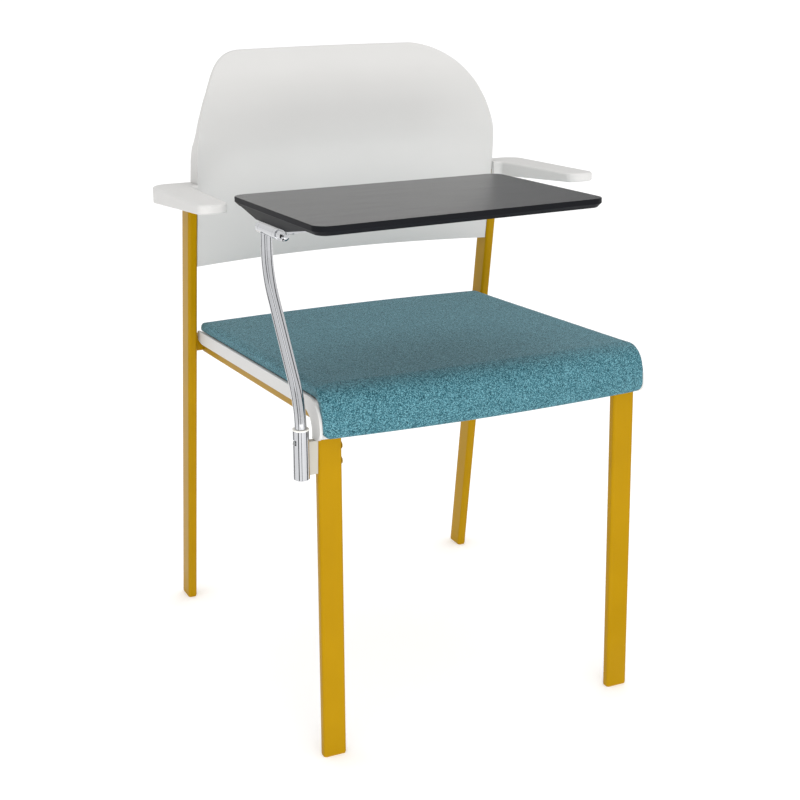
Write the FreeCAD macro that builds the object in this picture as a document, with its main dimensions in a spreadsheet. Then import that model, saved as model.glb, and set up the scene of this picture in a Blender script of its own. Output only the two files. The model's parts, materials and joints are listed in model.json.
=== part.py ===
"""A stacking armchair with a writing tablet that swings on a post and flips up, in millimetres.

The chair faces -Y, +Z is up and +X is the sitter's left. The origin is on the floor,
under the middle of the chair's width and depth.
"""
import FreeCAD, Part
import math
import os
import re
import Sketcher
from FreeCAD import Placement, Rotation, Vector

doc = FreeCAD.newDocument("tablet_armchair")

# The driving sizes: name, value, meaning. Lengths are in millimetres, angles in degrees.
SIZES = (
    ("overall_depth", 606, "tablet's front edge to the rear feet"),
    ("cut_overrun", 2, "how far a cutting tool runs past the face it opens"),
    ("soft_gap", 0.3, "air left round soft and curved faces"),
    ("fit_gap", 0.05, "radial clearance of a running or sliding fit"),
    ("weld_depth", 1, "how far a tube's end reaches into the wall it is coped to"),

    ("tube_wide", 30, "long side of the flat-sided oval tube"),
    ("tube_thin", 13, "short side of the tube"),
    ("tube_corner", 4, "outer corner radius of the tube"),
    ("tube_wall", 1.6, "wall of the tube"),

    ("front_leg_inset", 0, "front foot's outside in from the pan's outside"),
    ("front_leg_setback", 74, "front feet behind the tablet's front edge"),
    ("front_leg_drop", 14, "front leg's top below the deck's top over it"),
    ("front_leg_lean_in", 4, "front leg's inward lean over its height"),
    ("front_leg_lean_back", 11.5, "front leg's rearward lean over its height"),
    ("rear_leg_gap", 3, "rear leg beside the pan"),
    ("rear_leg_top", 632, "height of the rear legs"),
    ("rear_leg_lean", 91.5, "rear leg's forward lean over its height"),
    ("rear_tube_depth", 31.5, "rear tube's depth where the floor cuts it"),

    ("glide_base", 2, "sole of a foot glide"),
    ("glide_plug", 18, "plug of a foot glide inside the tube"),
    ("glide_inset", 0.4, "sole set in from the tube's outside"),

    ("seat_rear_inset", 84, "pan's rear edge in front of the rear feet"),
    ("seat_rear_height", 430, "height of the pan's deck at its rear edge"),
    ("seat_tilt", 4, "slope of the seat, higher at the front"),
    ("seat_width", 440, "outer width of the pan"),
    ("pan_wall", 4, "deck and wall of the pan"),
    ("pan_side_wall", 3.5, "side flange of the pan"),
    ("pan_lip", 2, "side flange's edge above the deck"),
    ("pan_front_inset", 5, "deck's front face, at the sides, behind the front feet's front"),
    ("pan_bow", 13, "how much further the front reaches in the middle"),
    ("pan_nose_radius", 16, "bend at the pan's front edge"),
    ("pan_front_drop", 45, "pan's front wall below the deck"),
    ("pan_rear_drop", 11, "side flange's rear end below the deck"),
    ("pan_band", 15, "side flange below the deck, along the side"),
    ("pan_knee_drop", 47, "side flange below the deck, at the front leg"),
    ("pan_knee_width", 27, "side flange's width where it meets the front leg"),
    ("pan_knee_run", 34, "length of the curve from the band to the knee"),
    ("pan_flange_nose", 32, "corner radius of the side flange"),
    ("pan_flange_ahead", 8, "side flange ahead of the pan's front face"),

    ("rail_tall", 26, "height of a side rail"),
    ("rail_thin", 13, "width of a side rail"),
    ("rail_inset", 7, "side rail's outside in from the pan's outside"),
    ("rail_corner", 3, "corner radius of rails and cross tubes"),
    ("rail_wall", 1.5, "wall of rails and cross tubes"),
    ("seat_gap", 1, "pan's rear edge in front of the rear cross tube"),
    ("rear_bar_deep", 20, "depth of the rear cross tube"),
    ("rear_bar_tall", 22, "height of the rear cross tube"),
    ("front_bar_deep", 10, "depth of the front cross tube"),
    ("front_bar_tall", 20, "height of the front cross tube"),
    ("front_bar_drop", 8, "front cross tube's top below the leg's top"),

    ("board_thick", 3, "stiffening board under the pad"),
    ("board_margin", 12, "board's edge in from the deck's edges"),
    ("board_corner", 20, "corner radius of the board"),
    ("pad_thick", 14.5, "pad's top above the deck, along its sides"),
    ("pad_crown", 2.5, "extra height in the middle of the pad"),
    ("pad_side_inset", 3.5, "pad's side in from the pan's outside"),
    ("pad_edge_radius", 4, "rounding of the pad's side edges"),
    ("pad_rear_inset", 6, "pad's rear face ahead of the pan's rear edge"),
    ("pad_rear_radius", 5, "rounding of the pad's rear edge"),
    ("pad_nose_radius", 27, "rounding of the pad's front edge"),
    ("pad_front_thick", 9.5, "pad ahead of the pan's front wall"),
    ("pad_front_drop", 44, "pad's lower front edge below the deck"),
    ("pad_lip_radius", 5, "rounding of the pad's lower front edge"),
    ("pad_lower_corner", 12, "rounding of the pad's lower front corners"),

    ("seat_screw_side", 120, "seat screws from the centre line"),
    ("seat_screw_rear", 110, "rear seat screws from the pan's rear edge"),
    ("seat_screw_front", 330, "front seat screws from the pan's rear edge"),
    ("screw_shank", 4, "diameter of a screw"),
    ("screw_head", 9, "diameter of a screw's head"),
    ("screw_head_tall", 2.5, "height of a screw's head"),

    ("back_bottom", 528, "height of the back shell's lower edge"),
    ("back_top", 808.5, "height of the back shell's top edge"),
    ("back_side_gap", 0.5, "back shell's side edge beside the rear leg"),
    ("back_wall", 5, "wall of the back shell"),
    ("back_hollow", 28, "how far the shell's middle lies behind its side edges"),
    ("back_lumbar_inset", 96, "front face at the lumbar height ahead of the rear feet, on the centre line"),
    ("back_roll", 66, "top edge behind the lumbar height"),
    ("back_shoulder", 672, "height where the sides start to round in"),
    ("back_side_radius", 180, "radius of the rounded shoulders"),
    ("back_corner_radius", 75, "radius where a shoulder meets the top edge"),
    ("back_rim_wall", 4, "thickness of the side wall along the shell's edge"),
    ("back_rim_depth", 34, "depth of that side wall at the arms"),
    ("back_screw_low", 560, "height of the lower back screws"),
    ("back_screw_high", 605, "height of the upper back screws"),
    ("back_screw_reach", 12, "length of a back screw's shank"),

    ("arm_overhang", 44, "arm's outside beyond the rear leg's outside"),
    ("arm_rear_top", 641.5, "height of the arm's top at the rear"),
    ("arm_tip_rise", 12, "how much higher the arm's tip is"),
    ("arm_rear_thick", 23, "arm's thickness at the rear"),
    ("arm_tip_thick", 11.5, "arm's thickness at its tip"),
    ("arm_rear_inset", 85, "rear edge of the arm ahead of the rear feet"),
    ("arm_long", 226, "length of the arm"),
    ("arm_tip_wide", 38, "width of the arm at its tip"),
    ("arm_rear_wide", 46, "width of the arm ahead of its bridge"),
    ("arm_bridge", 42, "depth of the bridge over the rear leg"),
    ("arm_back_gap", 0.6, "bridge's end beside the back shell"),
    ("arm_tip_corner", 15, "corner radius at the tip"),
    ("arm_rear_corner", 26, "radius of the rear outer corner"),
    ("arm_inner_corner", 8, "radius where the bridge meets the arm"),
    ("arm_edge", 3, "rounding of the arm's edges"),
    ("arm_screw_height", 628, "height of the screw through the bridge"),
    ("arm_screw_reach", 16, "length of the screw through the bridge"),

    ("tablet_tilt", 2.8, "slope of the tablet, higher at the front"),
    ("tablet_rise", 17.3, "tablet's underside above the hinge's axis"),
    ("tablet_thick", 11, "thickness of the tablet"),
    ("tablet_wide", 364, "width of the tablet"),
    ("tablet_deep_left", 278, "tablet's depth at the hinge side"),
    ("tablet_deep_right", 264, "tablet's depth at the free side"),
    ("tablet_overhang", 9, "tablet's edge outside the hinge's axis"),
    ("tablet_rear_reach", 96.5, "tablet's rear edge behind the post's top"),
    ("tablet_corner", 18, "corner radius of the tablet"),
    ("tablet_bevel", 5, "undercut bevel round the tablet"),
    ("tablet_arris", 0.8, "fine chamfer round the tablet's top"),

    ("post_aside", 18, "post's centre line beside the front foot's outside"),
    ("post_setback", 84, "post's lower centre line behind the tablet's front edge"),
    ("post_width", 14, "diameter of the post"),
    ("post_bend_height", 430, "height where the post starts to bend"),
    ("post_bend_radius", 90, "radius of the post's bends"),
    ("post_bend_angle", 36, "how far each bend turns"),
    ("post_offset", 96, "rearward offset of the post's top"),
    ("post_foot_height", 374.5, "height of the post's lower end"),

    ("hinge_height", 643.5, "height of the hinge's axis over the post"),
    ("barrel_width", 13, "outer diameter of the hinge barrel"),
    ("barrel_long", 47, "length of the hinge barrel"),
    ("barrel_behind", 11, "barrel's rear end behind the post's centre line"),
    ("hinge_pin_width", 6, "diameter of the hinge pin"),
    ("hinge_bush_wall", 1.5, "wall of the hinge bushes"),
    ("hinge_bush_long", 14, "length of a hinge bush"),
    ("hinge_gap", 0.3, "air between the barrel's ends and the knuckles"),
    ("knuckle_long", 8, "length of a knuckle of the hinge leaf"),
    ("leaf_thick", 2.5, "thickness of the hinge leaf"),
    ("leaf_wide", 66, "hinge leaf's reach from the hinge's axis"),
    ("leaf_offset", 8, "leaf's edge beside the barrel, from the hinge's axis"),
    ("hinge_cap_width", 11, "diameter of the pin's domed cap"),
    ("hinge_cap_long", 20, "length of the domed cap"),
    ("hinge_nut_width", 10, "diameter of the nut at the pin's rear end"),
    ("hinge_nut_long", 5, "length of that nut"),
    ("stop_lug_ahead", 9, "stop lug's rear end ahead of the post's centre line"),
    ("stop_lug_long", 17, "length of the stop lug along the barrel"),
    ("stop_lug_reach", 28, "stop lug's reach from the hinge's axis"),
    ("stop_lug_thick", 4, "thickness of the stop lug"),
    ("stop_gap", 0.2, "stop lug below the hinge leaf"),

    ("bracket_inset", 0.5, "bracket's lip inside the tablet's edge"),
    ("bracket_end_inset", 18, "bracket's ends in from the tablet's front and rear edges"),
    ("bracket_low_start", 2, "bracket's lower face beside the hinge's axis"),
    ("bracket_low_end", 72, "far side of the bracket's lower face"),
    ("bracket_top_end", 95, "far side of the bracket under the tablet"),
    ("tablet_screw_near", 17, "near tablet screws from the hinge's axis"),
    ("tablet_screw_far", 57, "far tablet screws from the hinge's axis"),
    ("tablet_screw_inset", 9, "tablet screws in from the leaf's ends"),
    ("tablet_screw_reach", 8, "how far the screws enter the tablet"),

    ("sleeve_wall", 1.5, "wall of the sleeve"),
    ("socket_bush_wall", 1, "wall of the bushes between post and sleeve"),
    ("sleeve_bottom", 369, "height of the sleeve's lower end"),
    ("sleeve_top", 429, "height of the sleeve's upper end"),
    ("sleeve_edge", 1, "rounding of the sleeve's lower end"),
    ("slot_bottom", 412.5, "height of the stop slot's lower edge"),
    ("stop_pin_width", 5, "diameter of the stop pin"),
    ("stop_pin_angle", 195, "direction of the stop pin at rest, from +X"),
    ("swing_range", 90, "how far the post turns"),
    ("slot_gap", 0.4, "air round the stop pin in its slot"),
    ("bush_upper_long", 8, "length of the upper bush inside the sleeve"),
    ("bush_rim", 1.6, "rim of the upper bush on the sleeve's end"),
    ("bush_lower_height", 380, "height of the lower bush's lower end"),
    ("bush_lower_long", 20, "length of the lower bush"),
    ("socket_plug_tall", 5, "plug in the sleeve's lower end"),

    ("web_thick", 8, "thickness of the socket bracket"),
    ("web_bottom", 371, "height of the socket bracket's lower edge"),
    ("web_tall", 41, "height of the socket bracket"),
    ("web_ahead", 2.5, "bracket's front face behind the post's centre line"),
    ("web_screw_margin", 11, "bracket screws in from its upper and lower edges"),
    ("web_screw_bite", 8, "how far a bracket screw enters the bracket"),
    ("web_screw_head", 0.8, "height of a bracket screw's low head"),
)

# Sizes that follow from the ones above, so that what fits together stays together.
WORKED_OUT = {
    "front_leg_spread": "(seat_width - 2 * front_leg_inset)",
    "front_leg_top": ("(seat_rear_height - front_leg_drop + tan(seat_tilt) * (overall_depth - seat_rear_inset"
                      " - front_leg_setback - tube_thin / 2 - front_leg_lean_back))"),
    "rear_leg_spread": "(seat_width + 2 * (rear_leg_gap + tube_thin))",
    "pan_side_reach": "(overall_depth - seat_rear_inset - front_leg_setback - pan_front_inset)",
    "back_width": "(rear_leg_spread - 2 * (tube_thin + back_side_gap))",
    "back_lumbar_y": "(overall_depth / 2 - back_lumbar_inset)",
    "arm_span": "(rear_leg_spread + 2 * arm_overhang)",
    "arm_rear_y": "(overall_depth / 2 - arm_rear_inset)",
    "arm_tip_y": "(arm_rear_y - arm_long)",
    "post_x": "(0 - front_leg_spread / 2 - post_aside)",
    "post_y": "(post_setback - overall_depth / 2)",
    "sleeve_width": "(post_width + 2 * (socket_bush_wall + sleeve_wall + 2 * fit_gap))",
}

# Points up the back shell: height, distance behind the lumbar and depth of the side wall,
# as shares of the shell's height, of its roll and of the side wall's largest depth. The
# last point lies above the trimmed top edge.
BACK_SHARES = (
    (0, 0.30, 0.85), (0.18, 0.18, 0.94), (0.36, 0.06, 0.96), (0.535, 0, 0.82), (0.675, 0.015, 0.34),
    (0.78, 0.10, 0.24), (0.87, 0.29, 0.22), (0.94, 0.60, 0.22), (1, 1, 0.22), (1.04, 1.28, 0.22),
)
BACK_STRIPS = 16
# Places of the pad's cross-sections from its middle out, as shares of its flat half width.
PAD_STATION_SHARES = (0, 0.2, 0.4, 0.6, 0.8, 1)
# Places round the pad's side edge, as shares of a quarter turn.
PAD_EDGE_SHARES = (0.3, 0.55, 0.75, 0.9)
# Places of the pan's cross-sections, as shares of its half width.
PAN_STATION_SHARES = (-1, -0.75, -0.5, -0.25, 0, 0.25, 0.5, 0.75, 1)

sheet = doc.addObject("Spreadsheet::Sheet", "sizes")
for row, (alias, number, meaning) in enumerate(SIZES, start=1):
    sheet.set(f"A{row}", alias)
    sheet.set(f"B{row}", str(number))
    sheet.set(f"C{row}", meaning)
    sheet.setAlias(f"B{row}", alias)
doc.recompute()
ALIASES = {alias for alias, number, meaning in SIZES}

# Which way each working plane's own X, Y and normal lie in the chair's frame.
PLANES = {
    "XY": Rotation(),
    "XZ": Rotation(Vector(1, 0, 0), 90),
    "YZ": Rotation(Vector(1, 1, 1), 120),
}
ALONG_Y = Rotation(Vector(1, 0, 0), -90)
ALONG_X = Rotation(Vector(0, 1, 0), 90)
ALONG_Y_BACK = Rotation(Vector(1, 0, 0), 90)
QUARTER_TURN = 90
HALF_TURN = 180
SIDES = (("right", -1), ("left", 1))


def bound(expression):
    """Write an expression of size names the way other objects refer to the sheet."""

    def refer(word):
        if word[0] in WORKED_OUT:
            return bound(WORKED_OUT[word[0]])
        return "sizes." + word[0] if word[0] in ALIASES else word[0]

    return re.sub(r"[a-z_]+", refer, expression)


def size(expression):
    """The number that an expression of size names gives."""
    result = sheet.evalExpression(bound(expression))
    return float(getattr(result, "Value", result))


def bind(thing, expressions):
    """Bind each named property of an object to an expression of size names."""
    for name, expression in expressions.items():
        thing.setExpression(name, bound(expression))


def move(thing, place, rotation=None):
    """Give an object a rotation and a place that stays bound to the sheet."""
    thing.Placement = Placement(Vector(*[size(part) for part in place]), rotation or Rotation())
    bind(thing, dict(zip(("Placement.Base.x", "Placement.Base.y", "Placement.Base.z"), place)))
    return thing


def new_sketch(name, plane, place, body=None):
    """An empty sketch on a working plane, in a body or by itself."""
    if body is None:
        return move(doc.addObject("Sketcher::SketchObject", name), place, PLANES[plane])
    sketch = body.newObject("Sketcher::SketchObject", name)
    role = plane + "_Plane"
    sketch.AttachmentSupport = [(next(f for f in body.Origin.OriginFeatures if f.Role == role), "")]
    sketch.MapMode = "FlatFace"
    return sketch


def pin_point(sketch, line, x_place, y_place):
    """Hold the start of a sketch line at a place given by two expressions."""
    for kind, place in (("DistanceX", x_place), ("DistanceY", y_place)):
        index = sketch.addConstraint(Sketcher.Constraint(kind, -1, 1, line, 1, size(place)))
        sketch.setExpression(f"Constraints[{index}]", bound(place))


def draw_polygon(sketch, corners):
    """Draw a closed outline of straight lines whose corners are bound to the sheet."""
    points = [Vector(size(x), size(y), 0) for x, y in corners]
    first = sketch.GeometryCount
    for start, end in zip(points, points[1:] + points[:1]):
        sketch.addGeometry(Part.LineSegment(start, end))
    for step in range(len(points)):
        after = first + (step + 1) % len(points)
        sketch.addConstraint(Sketcher.Constraint("Coincident", first + step, 2, after, 1))
    for step, (x_place, y_place) in enumerate(corners):
        pin_point(sketch, first + step, x_place, y_place)
    return sketch


def draw_rounded_box(sketch, wide, tall, corner):
    """Draw a rounded rectangle about the sketch's origin, bound to three sizes."""
    half_x, half_y, radius = size(wide) / 2, size(tall) / 2, size(corner)
    in_x, in_y = half_x - radius, half_y - radius
    ends = (((-in_x, half_y), (in_x, half_y)), ((half_x, in_y), (half_x, -in_y)),
            ((in_x, -half_y), (-in_x, -half_y)), ((-half_x, -in_y), (-half_x, in_y)))
    lines = [Part.LineSegment(Vector(*start, 0), Vector(*end, 0)) for start, end in ends]
    top, right, bottom, left = (sketch.addGeometry(line) for line in lines)
    arcs = []
    for turn, (x, y) in enumerate(((in_x, in_y), (-in_x, in_y), (-in_x, -in_y), (in_x, -in_y))):
        circle = Part.Circle(Vector(x, y, 0), Vector(0, 0, 1), radius)
        arc = Part.ArcOfCircle(circle, turn * math.pi / 2, (turn + 1) * math.pi / 2)
        arcs.append(sketch.addGeometry(arc))
    joints = ((top, 2, arcs[0], 2), (right, 1, arcs[0], 1), (right, 2, arcs[3], 2),
              (bottom, 1, arcs[3], 1), (bottom, 2, arcs[2], 2), (left, 1, arcs[2], 1),
              (left, 2, arcs[1], 2), (top, 1, arcs[1], 1))
    for joint in joints:
        sketch.addConstraint(Sketcher.Constraint("Tangent", *joint))
    for line in (top, bottom):
        sketch.addConstraint(Sketcher.Constraint("Horizontal", line))
    for line in (right, left):
        sketch.addConstraint(Sketcher.Constraint("Vertical", line))
    for arc in arcs[1:]:
        sketch.addConstraint(Sketcher.Constraint("Equal", arcs[0], arc))
    sketch.addConstraint(Sketcher.Constraint("Symmetric", arcs[0], 3, arcs[2], 3, -1, 1))
    for constraint, expression in (
            (Sketcher.Constraint("Radius", arcs[0], radius), corner),
            (Sketcher.Constraint("DistanceX", left, 1, right, 1, size(wide)), wide),
            (Sketcher.Constraint("DistanceY", bottom, 1, top, 1, size(tall)), tall)):
        sketch.setExpression(f"Constraints[{sketch.addConstraint(constraint)}]", bound(expression))
    return sketch


def extrude(name, sketch, run):
    """Push a sketch along a straight run given by three expressions."""
    solid = doc.addObject("Part::Extrusion", name)
    solid.Base = sketch
    solid.DirMode = "Custom"
    solid.Dir = Vector(*[size(part) for part in run])
    bind(solid, dict(zip(("Dir.x", "Dir.y", "Dir.z"), run)))
    solid.Solid = True
    return solid


def cut(name, base, *tools):
    """Cut one or more solids out of a base."""
    result = doc.addObject("Part::Cut", name)
    result.Base = base
    result.Tool = tools[0] if len(tools) == 1 else fuse(name + "_tools", *tools)
    result.Refine = True
    return result


def fuse(name, *solids):
    """Join solids into one."""
    result = doc.addObject("Part::MultiFuse", name)
    result.Shapes = list(solids)
    result.Refine = True
    return result


def cylinder(name, width, tall, place, rotation=None):
    """A cylinder from its diameter, its length and the place of its lower end."""
    solid = doc.addObject("Part::Cylinder", name)
    bind(solid, {"Radius": f"({width}) / 2", "Height": tall})
    return move(solid, place, rotation)


def box(name, low, high):
    """A box between two corners."""
    solid = doc.addObject("Part::Box", name)
    sides = zip(("Length", "Width", "Height"), low, high)
    bind(solid, {side: f"({end}) - ({start})" for side, start, end in sides})
    return move(solid, low)


def turned(name, profile, place, rotation=None):
    """Turn a closed half profile of radius and height about its own upright axis."""
    body = doc.addObject("PartDesign::Body", name)
    sketch = draw_polygon(new_sketch(name + "_profile", "XZ", None, body), profile)
    revolution = body.newObject("PartDesign::Revolution", name + "_turn")
    revolution.Profile = sketch
    revolution.ReferenceAxis = (sketch, ["V_Axis"])
    return move(body, place, rotation)


def from_code(name, shape, placement=None):
    """Hold a solid that is worked out here from the sheet's sizes."""
    thing = doc.addObject("Part::Feature", name)
    thing.Shape = shape
    thing.Placement = placement or Placement()
    return thing


def path_wire(start, *steps):
    """A wire from a start point through lines (one point) and arcs (a middle and an end point)."""
    edges = []
    for step in steps:
        if isinstance(step, Vector):
            edges.append(Part.LineSegment(start, step).toShape())
            start = step
        else:
            edges.append(Part.Arc(start, step[0], step[1]).toShape())
            start = step[1]
    return Part.Wire(edges)


def on_circle(centre, radius, degrees, across):
    """A point round a centre in the side view plane: 0 degrees is rearward, 90 is up."""
    angle = math.radians(degrees)
    return Vector(across, centre[0] + radius * math.cos(angle), centre[1] + radius * math.sin(angle))


# Legs and foot glides

def slanted_bar(name, leg, low, high, shrink, corner):
    """A bar along a leg's line, cut level at two heights and shrunk on every side."""
    x, y, run_x, run_y, top, wide, deep = leg
    sketch = new_sketch(name + "_section", "XY",
                        (f"{x} + ({run_x}) * ({low}) / {top}", f"{y} + ({run_y}) * ({low}) / {top}", low))
    draw_rounded_box(sketch, f"{wide} - 2 * ({shrink})", f"{deep} - 2 * ({shrink})", corner)
    rise = f"(({high}) - ({low}))"
    return extrude(name, sketch, (f"({run_x}) * {rise} / {top}", f"({run_y}) * {rise} / {top}", rise))


def leg_line(rank, side):
    """Foot centre, lean, height and section of a leg, as expressions."""
    if rank == "front":
        return (f"{side} * (front_leg_spread - tube_wide) / 2",
                "0 - overall_depth / 2 + front_leg_setback + tube_thin / 2",
                f"{-side} * front_leg_lean_in", "front_leg_lean_back",
                "front_leg_top", "tube_wide", "tube_thin")
    return (f"{side} * (rear_leg_spread - tube_thin) / 2", "overall_depth / 2 - rear_tube_depth / 2",
            "0", "0 - rear_leg_lean", "rear_leg_top", "tube_thin", "rear_tube_depth")


def make_leg(rank, hand, side):
    """A leg's outer bar, its hollow tube and the glide that closes its foot."""
    name = f"{rank}_leg_{hand}"
    leg = leg_line(rank, side)
    outer = slanted_bar(name + "_outer", leg, "glide_base", leg[4], "0", "tube_corner")
    bore = slanted_bar(name + "_bore", leg, "glide_base - cut_overrun", f"{leg[4]} + cut_overrun",
                       "tube_wall", "tube_corner - tube_wall")
    sole = slanted_bar(name + "_sole", leg, "0", "glide_base", "glide_inset", "tube_corner - glide_inset")
    plug = slanted_bar(name + "_plug", leg, "glide_base - glide_base / 2", "glide_base + glide_plug",
                       "tube_wall + fit_gap", "tube_corner - tube_wall - fit_gap")
    return outer, cut(name, outer, bore), fuse(f"foot_glide_{rank}_{hand}", sole, plug)


# Seat frame: side rails and cross tubes, coped to the legs

SEAT_Y = "(overall_depth / 2 - seat_rear_inset)"
RAIL_TOP = "(seat_rear_height - pan_wall / cos(seat_tilt))"
RAIL_START = f"({SEAT_Y} + seat_gap)"
RAIL_RUN = ("(overall_depth - seat_rear_inset + seat_gap - front_leg_setback - tube_thin"
            " - front_leg_lean_back + weld_depth)")


def make_rail(hand, side, front_leg):
    """A side rail under the pan, from the rear cross tube to the front leg."""
    place = (f"{side} * (seat_width / 2 - rail_inset - rail_thin / 2)", RAIL_START,
             f"{RAIL_TOP} - seat_gap * tan(seat_tilt) - rail_tall / 2")
    run = ("0", f"0 - {RAIL_RUN}", f"{RAIL_RUN} * tan(seat_tilt)")
    sketch = new_sketch(f"side_rail_{hand}_section", "XZ", place)
    draw_rounded_box(sketch, "rail_thin", "rail_tall", "rail_corner")
    draw_rounded_box(sketch, "rail_thin - 2 * rail_wall", "rail_tall - 2 * rail_wall",
                     "rail_corner - rail_wall")
    return cut(f"side_rail_{hand}", extrude(f"side_rail_{hand}_bar", sketch, run), front_leg)


def make_cross_tube(name, reach, y, z, deep, tall, legs):
    """A hollow tube across the chair, coped to a pair of legs."""
    sketch = new_sketch(name + "_section", "YZ", (f"0 - ({reach})", y, z))
    draw_rounded_box(sketch, deep, tall, "rail_corner")
    draw_rounded_box(sketch, f"{deep} - 2 * rail_wall", f"{tall} - 2 * rail_wall", "rail_corner - rail_wall")
    return cut(name, extrude(name + "_bar", sketch, (f"2 * ({reach})", "0", "0")), *legs)


def make_cross_tubes(front_legs, rear_legs):
    """The front and rear cross tubes."""
    rear = make_cross_tube(
        "rear_cross_tube", "rear_leg_spread / 2 - tube_thin + weld_depth",
        f"{RAIL_START} + rear_bar_deep / 2", f"{RAIL_TOP} - rail_tall / 2",
        "rear_bar_deep", "rear_bar_tall", rear_legs)
    height = "(front_leg_top - front_bar_drop - front_bar_tall / 2)"
    leg_foot = "0 - overall_depth / 2 + front_leg_setback + tube_thin / 2"
    front = make_cross_tube(
        "front_cross_tube", "front_leg_spread / 2 - tube_wide - front_leg_lean_in + weld_depth",
        f"{leg_foot} + front_leg_lean_back * {height} / front_leg_top", height,
        "front_bar_deep", "front_bar_tall", front_legs)
    return rear, front


# Seat: pan, board, pad and screws, drawn level from the pan's rear edge and then tilted

def tilt_seat(thing):
    """Set a seat part on its slope at the rear edge of the pan."""
    return move(thing, ("0", SEAT_Y, "seat_rear_height"), Rotation(Vector(1, 0, 0), -size("seat_tilt")))


def seat_reach(across):
    """Distance from the pan's rear edge to its bowed front face, at a place across the seat."""
    share = across / size("seat_width / 2")
    return size("pan_side_reach") + size("pan_bow") * (1 - share * share)


def pan_section(across):
    """Section of the deck and its front wall."""
    reach, radius, wall = seat_reach(across), size("pan_nose_radius"), size("pan_wall")
    low = -size("pan_front_drop")
    nose = (radius - reach, -radius)

    def at(y, z):
        return Vector(across, y, z)

    def bend(reach_out, turns):
        return on_circle(nose, reach_out, QUARTER_TURN * turns, across)

    return path_wire(
        at(0, -wall), at(0, 0), bend(radius, 1), (bend(radius, 1.5), bend(radius, 2)),
        at(-reach, low), at(wall - reach, low), bend(radius - wall, 2),
        (bend(radius - wall, 1.5), bend(radius - wall, 1)), at(0, -wall))


def pan_flange(side):
    """Side flange of the pan: a lip, a band and a knee down to the front leg."""
    outside = side * size("seat_width / 2")
    lip, drop, band = size("pan_lip"), size("pan_knee_drop"), size("pan_band")
    wide = size("pan_knee_width")
    front = -(seat_reach(outside) + size("pan_flange_ahead"))
    radius, run = size("pan_flange_nose"), size("pan_knee_run")
    nose, chin = (front + radius, lip - radius), (front + wide / 2, wide / 2 - drop)
    bend = run - wide / 2
    hollow = (front + wide + bend, -band - bend)

    def at(y, z):
        return Vector(outside, y, z)

    def arc(centre, reach_out, turns):
        return on_circle(centre, reach_out, QUARTER_TURN * turns, outside)

    wire = path_wire(
        at(0, -size("pan_rear_drop")), at(0, lip), arc(nose, radius, 1),
        (arc(nose, radius, 1.5), arc(nose, radius, 2)), at(front, chin[1]),
        (arc(chin, wide / 2, 2.5), at(chin[0], -drop)), at(front + wide, -drop),
        (arc(hollow, bend, 1.5), at(hollow[0], -band)),
        at(-size("pan_band"), -band), at(0, -size("pan_rear_drop")))
    return Part.Face(wire).extrude(Vector(-side * size("pan_side_wall"), 0, 0))


def seat_drill(name, low, high, width):
    """Four upright cylinders at the places of the seat screws."""
    tall = f"({high}) - ({low})"
    return [cylinder(f"{name}_{row}_{hand}", width, tall,
                     (f"{side} * seat_screw_side", f"0 - seat_screw_{row}", low))
            for row in ("rear", "front") for hand, side in SIDES]


def make_pan():
    """The moulded seat pan."""
    half = size("seat_width / 2 - pan_side_wall")
    deck = Part.makeLoft([pan_section(half * share) for share in PAN_STATION_SHARES], True, True)
    moulding = deck.multiFuse([pan_flange(side) for hand, side in SIDES]).removeSplitter()
    shell = from_code("seat_pan_shell", moulding)
    holes = seat_drill("seat_pan_hole", "0 - pan_wall - cut_overrun", "cut_overrun",
                       "screw_shank + 2 * fit_gap")
    return tilt_seat(cut("seat_pan", shell, *holes))


def make_board():
    """The stiffening board between the deck and the pad."""
    reach = "(pan_side_reach - pan_nose_radius - board_margin)"
    middle = f"0 - board_margin / 2 - {reach} / 2 - pad_rear_inset"
    sketch = new_sketch("seat_board_outline", "XY", ("0", middle, "0"))
    draw_rounded_box(sketch, "seat_width - 2 * pan_side_wall - 2 * board_margin",
                     f"{reach} - board_margin", "board_corner")
    plate = extrude("seat_board_plate", sketch, ("0", "0", "board_thick"))
    holes = seat_drill("seat_board_hole", "0 - cut_overrun", "board_thick + cut_overrun",
                       "screw_shank + 2 * fit_gap")
    return tilt_seat(cut("seat_board", plate, *holes))


def pad_section(across, top):
    """Section of the pad: flat over the board, rounded at the rear, wrapped over the front edge."""
    reach = seat_reach(across)
    gap = size("soft_gap")
    under = size("board_thick") + gap
    rear, rear_radius = -size("pad_rear_inset"), size("pad_rear_radius")
    rear_radius = min(rear_radius, top - under - gap)
    front, radius = -(reach + size("pad_front_thick")), size("pad_nose_radius")
    low, lip = -size("pad_front_drop"), size("pad_lip_radius")
    inner = size("pan_nose_radius")
    tail = (rear - rear_radius, top - rear_radius)
    nose = (front + radius, top - radius)
    toe = (front + lip, low + lip)
    bend = (inner - reach, -inner)

    def at(y, z):
        return Vector(across, y, z)

    def arc(centre, reach_out, turns):
        return on_circle(centre, reach_out, QUARTER_TURN * turns, across)

    return path_wire(
        at(rear, under), arc(tail, rear_radius, 0),
        (arc(tail, rear_radius, 0.5), arc(tail, rear_radius, 1)), arc(nose, radius, 1),
        (arc(nose, radius, 1.5), arc(nose, radius, 2)), arc(toe, lip, 2),
        (arc(toe, lip, 2.5), arc(toe, lip, 3)), at(-reach - gap, low), arc(bend, inner + gap, 2),
        (arc(bend, inner + under, 1.5), arc(bend, inner + under, 1)), at(rear, under))


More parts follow.
